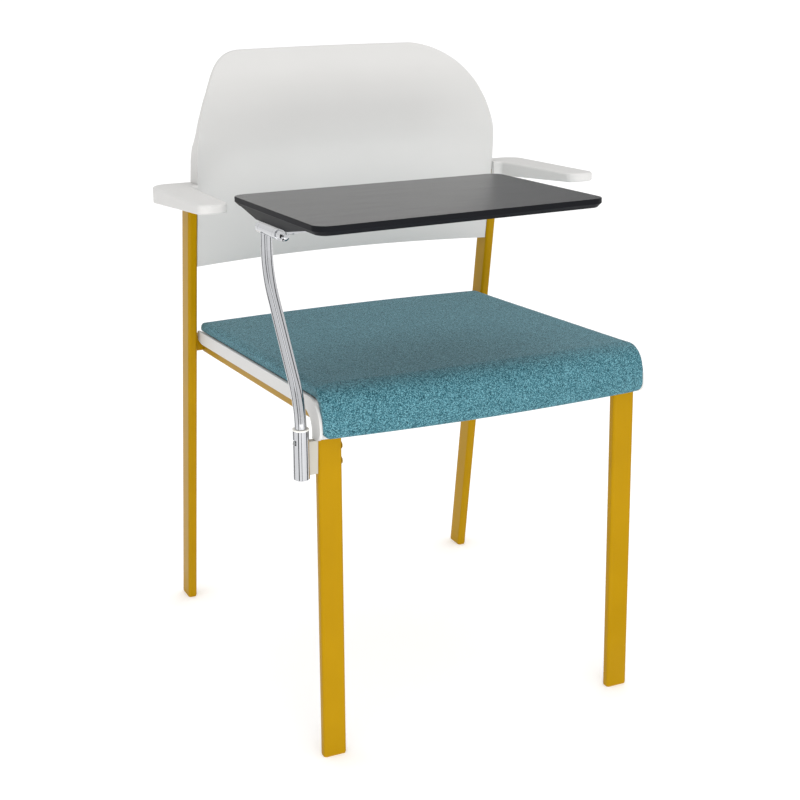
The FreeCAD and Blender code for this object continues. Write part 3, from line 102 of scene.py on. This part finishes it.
def add_node(tree, kind, inputs, **settings):
    """Adds a node. Each input is a value, or the output socket that feeds it."""
    node = tree.nodes.new(kind)
    for name, value in settings.items():
        setattr(node, name, value)
    for socket, value in inputs.items():
        if isinstance(value, bpy.types.NodeSocket):
            tree.links.new(value, node.inputs[socket])
        else:
            node.inputs[socket].default_value = value
    return node


def new_finish(name):
    """An empty node material and the object coordinates that its patterns read."""
    material = bpy.data.materials.new(name)
    material.use_nodes = True
    material.node_tree.nodes.clear()
    place = add_node(material.node_tree, "ShaderNodeTexCoord", {}).outputs["Object"]
    return material, material.node_tree, place


def close_finish(tree, shader):
    """Joins the finished shader to the material's output."""
    add_node(tree, "ShaderNodeOutputMaterial", {"Surface": shader.outputs[0]})


print("one millimetre is", MM, "m; mid grey in linear light:", round(linear("#808080")[0], 3))

# %% [markdown]
# ## Powder coat on the steel frame
# The tubes are sprayed with dry polyester powder and baked. The coat is half glossy, and it flows
# out in a faint orange peel about 3 mm across, which breaks up every highlight. A noise bump at that
# size gives it. The last centimetres above the floor carry the dull scuffs that shoes leave. The
# specular level is low, because a strong mirror image of the white room would wash the yellow out.
# The socket's bracket wears the same coat in light grey.

# %% Golden yellow powder coat
PEEL = 3.0 * MM
CLOUD = 60 * MM
RUB = 6 * MM
SCUFF_TOP = 45 * MM


def powder_coat(name, light, deep):
    """A coat whose colour drifts between two tones, with orange peel and scuffs near the floor."""
    material, tree, place = new_finish(name)
    cloud = add_node(tree, "ShaderNodeTexNoise", {"Vector": place, "Scale": 1 / CLOUD, "Detail": 2.0})
    tone = add_node(tree, "ShaderNodeMix", {
        FACTOR: cloud.outputs["Fac"], COLOUR_A: linear(deep), COLOUR_B: linear(light)},
        data_type="RGBA")
    peel = add_node(tree, "ShaderNodeTexNoise", {"Vector": place, "Scale": 1 / PEEL, "Detail": 1.0})
    bump = add_node(tree, "ShaderNodeBump", {
        "Height": peel.outputs["Fac"], "Strength": 0.16, "Distance": 0.12 * MM})
    height = add_node(tree, "ShaderNodeSeparateXYZ", {"Vector": place}).outputs["Z"]
    low = add_node(tree, "ShaderNodeMapRange", {
        "Value": height, "From Min": SCUFF_TOP, "From Max": 0.0, "To Min": 0.0, "To Max": 1.0})
    rub = add_node(tree, "ShaderNodeTexNoise", {"Vector": place, "Scale": 1 / RUB, "Detail": 4.0})
    scuff = add_node(tree, "ShaderNodeMath", {0: low.outputs[0], 1: rub.outputs["Fac"]},
                     operation="MULTIPLY")
    rough = add_node(tree, "ShaderNodeMapRange", {
        "Value": scuff.outputs[0], "To Min": 0.3, "To Max": 0.62})
    shader = add_node(tree, "ShaderNodeBsdfPrincipled", {
        "Base Color": tone.outputs[MIXED_COLOUR], "Roughness": rough.outputs[0],
        "Normal": bump.outputs[0], "IOR": 1.5, "Specular IOR Level": 0.08})
    close_finish(tree, shader)
    return material


frame_yellow = powder_coat("powder_coat_golden_yellow", "#A88103", "#9D7702")
socket_grey = powder_coat("powder_coat_light_grey", "#B5B1A7", "#AFABA1")
print("orange peel every", round(PEEL / MM, 2), "mm")

# %% [markdown]
# ## Moulded plastics
# The back, the arms and the seat pan are injection moulded in light grey polypropylene. The mould's
# walls are spark eroded, so the plastic has a fine leathery grain about half a millimetre across
# that softens its highlights, and its colour drifts a little where the melt flowed together. The
# grain would be finer than a pixel, so it is drawn at 1 mm. The same recipe in other tones serves the
# tablet's ABS moulding, the nylon foot glides and the acetal bushes.

# %% Grained plastics
GRAIN = 1.0 * MM
FLOW = 90 * MM
ROUGHNESS_DRIFT = 0.04


def moulded(name, light, deep, roughness, strength, specular=0.4):
    """A grained plastic whose colour and roughness drift along the flow of the melt."""
    material, tree, place = new_finish(name)
    flow = add_node(tree, "ShaderNodeTexNoise", {"Vector": place, "Scale": 1 / FLOW, "Detail": 3.0})
    tone = add_node(tree, "ShaderNodeMix", {
        FACTOR: flow.outputs["Fac"], COLOUR_A: linear(deep), COLOUR_B: linear(light)},
        data_type="RGBA")
    grain = add_node(tree, "ShaderNodeTexVoronoi", {"Vector": place, "Scale": 1 / GRAIN})
    bump = add_node(tree, "ShaderNodeBump", {
        "Height": grain.outputs["Distance"], "Strength": strength, "Distance": 0.05 * MM})
    rough = add_node(tree, "ShaderNodeMapRange", {
        "Value": flow.outputs["Fac"], "To Min": roughness - ROUGHNESS_DRIFT,
        "To Max": roughness + ROUGHNESS_DRIFT})
    shader = add_node(tree, "ShaderNodeBsdfPrincipled", {
        "Base Color": tone.outputs[MIXED_COLOUR], "Roughness": rough.outputs[0],
        "Normal": bump.outputs[0], "IOR": 1.49, "Specular IOR Level": specular})
    close_finish(tree, shader)
    return material


shell_grey = moulded("polypropylene_light_grey", "#CDCCCA", "#C8C7C5", roughness=0.46, strength=0.3)
bracket_black = moulded("abs_graphite_grained", "#15161A", "#101114", roughness=0.5, strength=0.35,
                        specular=0.1)
glide_yellow = moulded("nylon_glide_yellow", "#AE850D", "#A57D07", roughness=0.5, strength=0.2,
                       specular=0.2)
bush_white = moulded("acetal_bush_white", "#E4E2DC", "#DBD9D2", roughness=0.35, strength=0.1)
print("grain", round(GRAIN / MM, 2), "mm, flow marks", round(FLOW / MM), "mm")

# %% [markdown]
# ## Laminate on the writing tablet
# A writing tablet is pressed from a smooth, hard, dark laminate so that a pen runs well on it. It is
# nearly black by itself; seen at a low angle it mirrors the pale back and the room, which is why it
# looks mid grey from the front. Faint wipe marks roughen it here and there.

# %% Graphite laminate
WIPE_LONG = 70 * MM
WIPE_WIDE = 9 * MM
WIPED_AT = math.radians(35)
SPECK = 1.2 * MM

tablet_graphite, tree, place = new_finish("laminate_graphite_smooth")
across = add_node(tree, "ShaderNodeMapping", {
    "Vector": place, "Rotation": (0.0, 0.0, WIPED_AT), "Scale": (WIPE_WIDE / WIPE_LONG, 1.0, 1.0)})
wipes = add_node(tree, "ShaderNodeTexNoise", {
    "Vector": across.outputs[0], "Scale": 1 / WIPE_WIDE, "Detail": 3.0})
fine = add_node(tree, "ShaderNodeTexNoise", {"Vector": place, "Scale": 1 / SPECK, "Detail": 2.0})
speck = add_node(tree, "ShaderNodeMix", {
    FACTOR: fine.outputs["Fac"], COLOUR_A: linear("#17181B"), COLOUR_B: linear("#1F2023")},
    data_type="RGBA")
rough = add_node(tree, "ShaderNodeMapRange", {
    "Value": wipes.outputs["Fac"], "To Min": 0.22, "To Max": 0.27})
bump = add_node(tree, "ShaderNodeBump", {
    "Height": fine.outputs["Fac"], "Strength": 0.06, "Distance": 0.05 * MM})
close_finish(tree, add_node(tree, "ShaderNodeBsdfPrincipled", {
    "Base Color": speck.outputs[MIXED_COLOUR], "Roughness": rough.outputs[0],
    "Normal": bump.outputs[0], "IOR": 1.52, "Specular IOR Level": 0.43}))
print("wipe marks", round(WIPE_LONG / MM), "by", round(WIPE_WIDE / MM), "mm")

# %% [markdown]
# ## Chrome and zinc
# The post, its sleeve and the hinge are plated with bright chrome over polished steel: almost a
# mirror, with hairline polishing marks that run round the tube. The screws are only zinc plated, so
# they are duller and slightly clouded. Metals keep Blender's own IOR, because their colour sets how
# they reflect.

# %% Bright chrome and zinc plate
ROUND_THE_TUBE = (0.25, 0.25, 1.0)


def plated(name, light, deep, smooth, dull, mark):
    """A plated metal. Its polishing marks are as wide as mark says, and four times as long."""
    material, tree, place = new_finish(name)
    marks = add_node(tree, "ShaderNodeMapping", {"Vector": place, "Scale": ROUND_THE_TUBE})
    polish = add_node(tree, "ShaderNodeTexNoise", {
        "Vector": marks.outputs[0], "Scale": 1 / mark, "Detail": 3.0})
    rough = add_node(tree, "ShaderNodeMapRange", {
        "Value": polish.outputs["Fac"], "To Min": smooth, "To Max": dull})
    tone = add_node(tree, "ShaderNodeMix", {
        FACTOR: polish.outputs["Fac"], COLOUR_A: linear(deep), COLOUR_B: linear(light)},
        data_type="RGBA")
    bump = add_node(tree, "ShaderNodeBump", {
        "Height": polish.outputs["Fac"], "Strength": 0.03, "Distance": 0.01 * MM})
    close_finish(tree, add_node(tree, "ShaderNodeBsdfPrincipled", {
        "Base Color": tone.outputs[MIXED_COLOUR], "Metallic": 1.0, "Roughness": rough.outputs[0],
        "Normal": bump.outputs[0]}))
    return material


bright_chrome = plated("chrome_plate_polished", "#C4C5C8", "#BCBDC0", smooth=0.02, dull=0.05,
                       mark=1.5 * MM)
zinc_plate = plated("zinc_plate_screws", "#C9CBCB", "#B4B8BA", smooth=0.25, dull=0.42, mark=2.5 * MM)
print("plated finishes:", bright_chrome.name, zinc_plate.name)

# %% [markdown]
# ## Plywood under the cushion
# The board that the screws bite into is beech plywood. Its faces show long grain and its edge shows
# the plies, thin light and dark bands one above the other. On the finished chair it lies hidden
# between the cushion and the pan, and it shows only when a piece is taken off.

# %% Beech plywood
PLY = 1.6 * MM
FIBRE = 2.5 * MM
ALONG_THE_GRAIN = (1.0, 0.08, 1.0)
WAVE_REPEAT = 0.314  # metres from band to band in a wave texture whose scale is 1

ply_beech, tree, place = new_finish("plywood_beech")
grain = add_node(tree, "ShaderNodeMapping", {"Vector": place, "Scale": ALONG_THE_GRAIN})
fibre = add_node(tree, "ShaderNodeTexNoise", {
    "Vector": grain.outputs[0], "Scale": 1 / FIBRE, "Detail": 4.0})
bands = add_node(tree, "ShaderNodeTexWave", {
    "Vector": place, "Scale": WAVE_REPEAT / (2 * PLY), "Distortion": 1.0}, bands_direction="Z")
blend = add_node(tree, "ShaderNodeMath", {0: fibre.outputs["Fac"], 1: bands.outputs["Fac"]},
                 operation="MULTIPLY")
tone = add_node(tree, "ShaderNodeMix", {
    FACTOR: blend.outputs[0], COLOUR_A: linear("#B98A5A"), COLOUR_B: linear("#E2C294")},
    data_type="RGBA")
bump = add_node(tree, "ShaderNodeBump", {
    "Height": fibre.outputs["Fac"], "Strength": 0.2, "Distance": 0.1 * MM})
close_finish(tree, add_node(tree, "ShaderNodeBsdfPrincipled", {
    "Base Color": tone.outputs[MIXED_COLOUR], "Roughness": 0.6, "Normal": bump.outputs[0],
    "IOR": 1.5}))
print("plies every", round(PLY / MM, 2), "mm")

# %% [markdown]
# ## Two-tone upholstery cloth
# The seat wears a hard-wearing crepe in which light and dark teal yarns cross without any order, so
# close up it is all specks, and from above they melt into one dusty blue-green. Each speck is one
# float of yarn just under 1 mm long. Cells of random value give the specks, a finer noise frays them,
# and a soft sheen stands for the loose fibres that catch light at the rim.

# %% Teal crepe cloth
FLOAT = 0.85 * MM
FRAY = 0.6 * MM
FRAY_SHARE = 0.45

pad_teal, tree, place = new_finish("crepe_cloth_teal_two_tone")
cells = add_node(tree, "ShaderNodeTexVoronoi", {"Vector": place, "Scale": 1 / FLOAT})
chance = add_node(tree, "ShaderNodeSeparateColor", {"Color": cells.outputs["Color"]})
fray = add_node(tree, "ShaderNodeTexNoise", {"Vector": place, "Scale": 1 / FRAY, "Detail": 2.0})
yarn = add_node(tree, "ShaderNodeMix", {
    FACTOR: FRAY_SHARE, VALUE_A: chance.outputs["Red"], VALUE_B: fray.outputs["Fac"]})
tones = add_node(tree, "ShaderNodeValToRGB", {"Fac": yarn.outputs[MIXED_VALUE]})
stops = tones.color_ramp.elements
stops[0].position, stops[0].color = 0.24, linear("#0B3641")
stops[1].position, stops[1].color = 0.76, linear("#6B9EA9")
middle = stops.new(0.5)
middle.color = linear("#346773")
height = add_node(tree, "ShaderNodeMath", {
    0: yarn.outputs[MIXED_VALUE], 1: cells.outputs["Distance"]}, operation="SUBTRACT")
bump = add_node(tree, "ShaderNodeBump", {
    "Height": height.outputs[0], "Strength": 0.6, "Distance": 0.35 * MM})
close_finish(tree, add_node(tree, "ShaderNodeBsdfPrincipled", {
    "Base Color": tones.outputs["Color"], "Roughness": 0.9, "Normal": bump.outputs[0],
    "IOR": 1.45, "Sheen Weight": 0.25, "Sheen Roughness": 0.45, "Sheen Tint": linear("#B4C6CA")}))
print("yarn floats", round(FLOAT / MM, 2), "mm")

# %% [markdown]
# ## Dressing the frame
# The record names one slot for each finish, and each CAD node says which slot it wears. A table from
# slot to material puts every finish where it belongs, without naming the pieces one by one.

# %% Give every CAD node its finish
FINISHES = {
    "frame_coat": frame_yellow,
    "glide_nylon": glide_yellow,
    "shell_plastic": shell_grey,
    "board_ply": ply_beech,
    "pad_fabric": pad_teal,
    "tablet_laminate": tablet_graphite,
    "bracket_plastic": bracket_black,
    "post_chrome": bright_chrome,
    "screw_steel": zinc_plate,
    "bush_nylon": bush_white,
    "socket_coat": socket_grey,
}

for row in frame["record"]["subparts"]:
    mesh = nodes[row["node"]].data
    mesh.materials.clear()
    mesh.materials.append(FINISHES[row["material_slot"]])
bare = [name for name, node in nodes.items() if not node.data.materials]
print("finishes:", len(FINISHES), "pieces without one:", bare)

# %% [markdown]
# ## One skin for the back shell
# The CAD kernel draws the shell's long curve as strips, each with its own shading, and at a low
# angle the strips would show as bands. A copy whose corners are merged, and whose shading runs on
# across every edge flatter than 30 degrees, reads as the one soft curve that a mould gives.

# %% Merge the back shell
SHARP = math.radians(30)
SAME_PLACE = 0.01 * MM


def merged(name, new_name):
    """A copy of a CAD piece with its corners joined and its own shading dropped."""
    mesh = nodes[name].data.copy()
    mesh.name = new_name
    skin = bmesh.new()
    skin.from_mesh(mesh)
    bmesh.ops.remove_doubles(skin, verts=skin.verts, dist=SAME_PLACE)
    bmesh.ops.recalc_face_normals(skin, faces=skin.faces)
    skin.to_mesh(mesh)
    skin.free()
    if "custom_normal" in mesh.attributes:
        mesh.attributes.remove(mesh.attributes["custom_normal"])
    mesh.shade_smooth()
    piece = bpy.data.objects.new(new_name, mesh)
    bpy.context.scene.collection.objects.link(piece)
    return piece


back = merged("back_shell", "back_skin")
back.data.set_sharp_from_angle(angle=SHARP)
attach(back, "chair_frame")
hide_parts("back_shell")
print("back skin:", len(back.data.polygons), "faces,", len(back.data.vertices), "corners")

# %% [markdown]
# ## The tablet's two surfaces
# Only the writing face is laminate. The edge and the underside are the dull moulding that the
# laminate is pressed into, nearly black from any side. So the tablet gets a copy of its own whose
# upward faces wear the laminate and whose other faces wear the moulding. Bright chrome would mirror
# the dark tablet as one broad streak. A photographer turns the post until that streak is gone, and
# here the tablet and its bracket are simply left out of mirror images.

# %% Two finishes on the tablet
FACES_UP = 0.9

writing_top = merged("tablet_top", "writing_top")
writing_top.data.set_sharp_from_angle(angle=SHARP)
writing_top.data.materials.append(bracket_black)
for face in writing_top.data.polygons:
    face.material_index = 0 if face.normal.z > FACES_UP else 1
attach(writing_top, "writing_tablet")
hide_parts("tablet_top")
for dark_piece in (writing_top, nodes["tablet_bracket"]):
    dark_piece.visible_glossy = False
print("writing faces:", sum(face.material_index == 0 for face in writing_top.data.polygons))

# %% [markdown]
# ## Softened edges
# No moulded edge is a knife edge. A weld modifier joins the CAD faces, and a narrow bevel then
# rounds what is left sharp, so that each edge draws the thin bright line that tells the eye
# where one face ends.

# %% Soften the moulded pieces
EDGE_ROUND = 0.6 * MM

for name in ("tablet_bracket", "seat_pan", "socket_bracket"):
    weld = nodes[name].modifiers.new("join", "WELD")
    weld.merge_threshold = SAME_PLACE
    soft = nodes[name].modifiers.new("soft_edge", "BEVEL")
    soft.width = EDGE_ROUND
    soft.segments = 2
    soft.limit_method = "ANGLE"
    soft.angle_limit = SHARP
    soft.harden_normals = True
print("softened by", round(EDGE_ROUND / MM, 2), "mm")

# %% [markdown]
# ## The seat cushion
# The cushion is a slab of cut foam glued to the board, with the cloth pulled over it and stapled
# below. It keeps the foam's crisp outline, but cloth under tension rounds every edge and swells
# slightly between its held edges. So the CAD block is remeshed evenly and drawn back onto the block's
# own faces, ready to be blown up. The block's square edges are kept as a line of points, because the
# even mesh cuts them off and they are needed again later.

# %% Helpers for the cushion
SQUARE = math.radians(60)


def settle(piece):
    """Puts what a piece's modifiers make into its own mesh."""
    graph = bpy.context.evaluated_depsgraph_get()
    made = bpy.data.meshes.new_from_object(piece.evaluated_get(graph))
    piece.modifiers.clear()
    piece.data = made


def square_edges(mesh, spacing):
    """Points along a mesh's square edges, in a tree that finds the nearest one."""
    shape = bmesh.new()
    shape.from_mesh(mesh)
    points = []
    for edge in shape.edges:
        if edge.calc_face_angle(0.0) > SQUARE:
            start, run = edge.verts[0].co, edge.verts[1].co - edge.verts[0].co
            parts = math.ceil(run.length / spacing)
            points += [start + run * (part / parts) for part in range(parts + 1)]
    shape.free()
    tree = KDTree(len(points))
    for number, point in enumerate(points):
        tree.insert(point, number)
    tree.balance()
    return tree


print("an edge is square past", round(math.degrees(SQUARE)), "degrees")

# %% Remesh the cushion's block evenly
VOXEL = 2.6 * MM
POINTS_APART = 0.5 * MM

block = merged("seat_pad", "seat_block")
square_line = square_edges(block.data, POINTS_APART)
cushion = merged("seat_pad", "seat_cushion")
even = cushion.modifiers.new("even", "REMESH")
even.mode = "VOXEL"
even.voxel_size = VOXEL
even.use_smooth_shade = True
draw = cushion.modifiers.new("draw", "SHRINKWRAP")
draw.target = block
settle(cushion)
bpy.data.objects.remove(block)
print("even mesh:", len(cushion.data.polygons), "faces")

# %% [markdown]
# ## Blown up as cloth over foam
# A cloth simulation with a little pressure inside swells the even mesh against its own stiffness.
# Its underside and its sides are held: the board is below, and at the sides the cloth is pulled
# straight down into the pan's raised edges. Firm foam hardly gives way, so a cap lets no corner of
# the mesh move by more than a millimetre.

# %% Hold the underside and the sides
LOOKS_DOWN = -0.3
LOOKS_ASIDE = 0.75


def corners(mesh):
    """The places of a mesh's corners as an array."""
    places = np.zeros(len(mesh.vertices) * 3)
    mesh.vertices.foreach_get("co", places)
    return places.reshape(-1, 3)


def facing(mesh):
    """The direction that each corner faces, as an array."""
    ways = np.zeros(len(mesh.vertices) * 3)
    mesh.vertex_normals.foreach_get("vector", ways)
    return ways.reshape(-1, 3)


before = corners(cushion.data)
ways = facing(cushion.data)
still = (ways[:, 2] < LOOKS_DOWN) | (np.abs(ways[:, 0]) > LOOKS_ASIDE)
held = cushion.vertex_groups.new(name="held")
held.add([int(i) for i in np.nonzero(still)[0]], 1.0, "REPLACE")
print("held corners:", int(still.sum()), "of", len(still))

# %% Run the cloth
PRESSURE = 2.5
LAST_STEP = 10

cloth = cushion.modifiers.new("cloth", "CLOTH")
cloth.settings.quality = 6
cloth.settings.mass = 0.3
cloth.settings.tension_stiffness = 20
cloth.settings.compression_stiffness = 20
cloth.settings.bending_stiffness = 1.0
cloth.settings.use_pressure = True
cloth.settings.uniform_pressure_force = PRESSURE
cloth.settings.effector_weights.gravity = 0.0
cloth.settings.vertex_group_mass = "held"
for step in range(1, LAST_STEP + 1):
    bpy.context.scene.frame_set(step)
settle(cushion)
bpy.context.scene.frame_set(1)
moved = corners(cushion.data) - before
far = np.linalg.norm(moved, axis=1, keepdims=True)
print("most swelling:", round(float(far.max()) / MM, 2), "mm")

# %% Cap the swelling
SWELL_MOST = 1.0 * MM
NOT_MOVED = 1e-9

moved *= np.minimum(1.0, SWELL_MOST / np.maximum(far, NOT_MOVED))
cushion.data.vertices.foreach_set("co", (before + moved).ravel())
cushion.data.update()
print("corners at the cap:", int((far > SWELL_MOST).sum()))

# %% [markdown]
# ## The lower edge
# The even mesh cuts the block's square lower edge off by up to a voxel, which would leave a dark
# groove over the pan. Its corners there are pressed back onto the line of the edge, and those that
# land on one another are merged.

# %% Press the lower edge square
EDGE_REACH = 0.8 * VOXEL
LANDS_TOGETHER = 0.3 * MM

pressed = 0
for corner in cushion.data.vertices:
    nearest, _, gap = square_line.find(corner.co)
    if gap < EDGE_REACH:
        corner.co = nearest
        pressed += 1
skin = bmesh.new()
skin.from_mesh(cushion.data)
bmesh.ops.remove_doubles(skin, verts=skin.verts, dist=LANDS_TOGETHER)
bmesh.ops.dissolve_degenerate(skin, edges=skin.edges, dist=SAME_PLACE)
skin.to_mesh(cushion.data)
skin.free()
print("corners pressed onto the edge:", pressed)

# %% Finish the cushion
cushion.data.shade_smooth()
cushion.data.set_sharp_from_angle(angle=SQUARE)
cushion.data.materials.clear()
cushion.data.materials.append(pad_teal)
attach(cushion, "chair_frame")
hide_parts("seat_pad")
print("cushion faces:", len(cushion.data.polygons))

# %% [markdown]
# ## Floor and surround
# The photograph has an even white ground and no hard shadow, as in a light tent. A wide pale floor
# and a bright even surround do the same. The floor glows faintly, so that it stays white where the
# chair takes light from it. The view transform is Standard, which passes the finishes' colours on to
# the picture without a film curve.

# %% Floor
GLOW = 0.08
FLOOR_RADIUS = 40.0

floor_mesh = bpy.data.meshes.new("floor")
ground = bmesh.new()
bmesh.ops.create_circle(ground, cap_ends=True, segments=64, radius=FLOOR_RADIUS)
ground.to_mesh(floor_mesh)
ground.free()
floor = bpy.data.objects.new("floor", floor_mesh)
bpy.context.scene.collection.objects.link(floor)
floor_paint, tree, _ = new_finish("floor_matt_white")
close_finish(tree, add_node(tree, "ShaderNodeBsdfPrincipled", {
    "Base Color": linear("#FFFFFF"), "Roughness": 0.9, "Emission Color": linear("#FFFFFF"),
    "Emission Strength": GLOW}))
floor_mesh.materials.append(floor_paint)
print("floor radius:", FLOOR_RADIUS, "m")

# %% Surround
SURROUND = 1.0

world = bpy.data.worlds.new("light_tent")
bpy.context.scene.world = world
world.use_nodes = True
tree = world.node_tree
tree.nodes.clear()
sky = add_node(tree, "ShaderNodeBackground", {"Color": linear("#FFFFFF"), "Strength": SURROUND})
add_node(tree, "ShaderNodeOutputWorld", {"Surface": sky.outputs[0]})
bpy.context.scene.view_settings.view_transform = "Standard"
print("surround strength:", SURROUND)

# %% [markdown]
# ## Four soft lamps
# The surround lights everything alike, so the lamps only give the faces their different tones. The
# key lamp stands high at the camera's left, the top lamp hangs overhead, and two lamps ahead of the
# chair fill the front, one of them low enough to reach under the tablet. Those two are left out of
# mirror images, because in the chrome they would blot out the lines that the cards draw.

# %% Lamps
CHAIR_MIDDLE = (0.0, 0.0, 0.4)
# Each row is a name, a place, an aim, a width and a height in metres, and the watts.
MIRRORED_LAMPS = (
    ("key_lamp", (-1.9, -1.6, 2.6), CHAIR_MIDDLE, 1.6, 1.6, 3.0),
    ("top_lamp", (0.4, 0.5, 3.0), CHAIR_MIDDLE, 2.0, 2.0, 11.0),
)
UNMIRRORED_LAMPS = (
    ("front_lamp", (-0.6, -2.6, 0.5), (0.0, 0.2, 0.6), 1.6, 1.6, 24.0),
    ("low_lamp", (-0.5, -2.4, 0.26), (0.0, 0.2, 0.55), 1.6, 0.4, 11.0),
)


def soft_lamp(name, at, aim, wide, tall, watts):
    """An area lamp of that width and height, turned to its aim."""
    light = bpy.data.lights.new(name, "AREA")
    light.shape = "RECTANGLE"
    light.size = wide
    light.size_y = tall
    light.energy = watts
    lamp = bpy.data.objects.new(name, light)
    bpy.context.scene.collection.objects.link(lamp)
    lamp.location = at
    lamp.rotation_euler = (Vector(aim) - Vector(at)).to_track_quat("-Z", "Y").to_euler()
    return lamp


for row in MIRRORED_LAMPS:
    soft_lamp(*row)
for row in UNMIRRORED_LAMPS:
    soft_lamp(*row).visible_glossy = False

# %% [markdown]
# ## Cards for the chrome and the tablet
# Bright chrome shows only what is round it, and without something dark to mirror it would look like
# plain white plastic. So black strips, like the taped seams of a light tent, run out along the floor,
# up outside the picture and back overhead. They are seen only in mirror images, so each one is a
# painted reflection: a dark line down the post and its sleeve. A grey card behind the chair, also
# seen only in mirror images, paints a graded reflection on the tablet, shaded from left to right.

# %% A helper that puts up a card
POST_FOOT = Vector((-0.238, -0.219, 0.002))


def put_up(name, rows, paint, bearing):
    """A card through rows of corners, turned about the post's foot and seen only in reflections."""
    mesh = bpy.data.meshes.new(name)
    sheet = bmesh.new()
    corners_made = [[sheet.verts.new(corner) for corner in row] for row in rows]
    for near, far in zip(corners_made, corners_made[1:]):
        sheet.faces.new((near[0], near[1], far[1], far[0]))
    sheet.to_mesh(mesh)
    sheet.free()
    mesh.materials.append(paint)
    card = bpy.data.objects.new(name, mesh)
    bpy.context.scene.collection.objects.link(card)
    card.rotation_euler.z = math.radians(bearing)
    card.location = POST_FOOT
    card.visible_camera = False
    card.visible_diffuse = False
    card.visible_shadow = False


print("cards stand round:", [round(v, 3) for v in POST_FOOT])

# %% Black strips
# Bearing from the post in degrees, counted from +X, and the strip's width as a share of its distance.
STRIPS = (("far_left", 135, 0.30), ("left", 216, 0.22), ("front", 256, 0.12), ("right", 338, 0.32))
STRIP_NEAR, STRIP_FAR, STRIP_TALL = 0.25, 3.0, 2.7
STRIP_RUN = ((STRIP_NEAR, 0.0), (STRIP_FAR, 0.0), (STRIP_FAR, STRIP_TALL), (STRIP_NEAR, STRIP_TALL))

# Seen only in reflections, these strips paint dark lines into the chrome: a painted reflection.
card_black, tree, _ = new_finish("card_matt_black")
close_finish(tree, add_node(tree, "ShaderNodeBsdfPrincipled", {
    "Base Color": linear("#101010"), "Roughness": 0.9}))
for side, bearing, share in STRIPS:
    half = share / 2
    rows = [((away, -half * away, height), (away, half * away, height)) for away, height in STRIP_RUN]
    put_up("card_" + side, rows, card_black, bearing)
print("strips up:", len(STRIPS))

# %% Grey card behind the chair
BEHIND_BEARING = 62
BEHIND_AWAY, BEHIND_HALF, BEHIND_TALL = 3.4, 1.3, 2.2

# Seen only in reflections, this card's grade is a painted reflection on the tablet, shaded from left
# to right.
card_grey, tree, place = new_finish("card_graded_grey")
run = add_node(tree, "ShaderNodeSeparateXYZ", {"Vector": place}).outputs["Y"]
share = add_node(tree, "ShaderNodeMapRange", {
    "Value": run, "From Min": -BEHIND_HALF, "From Max": BEHIND_HALF})
grey = add_node(tree, "ShaderNodeMix", {
    FACTOR: share.outputs[0], COLOUR_A: linear("#747474"), COLOUR_B: linear("#C4C4C4")},
    data_type="RGBA")
close_finish(tree, add_node(tree, "ShaderNodeBsdfPrincipled", {
    "Base Color": grey.outputs[MIXED_COLOUR], "Roughness": 0.9}))
rows = [((BEHIND_AWAY, -BEHIND_HALF, height), (BEHIND_AWAY, BEHIND_HALF, height))
        for height in (0.0, BEHIND_TALL)]
put_up("card_behind", rows, card_grey, BEHIND_BEARING)
print("grey card:", BEHIND_AWAY, "m from the post")
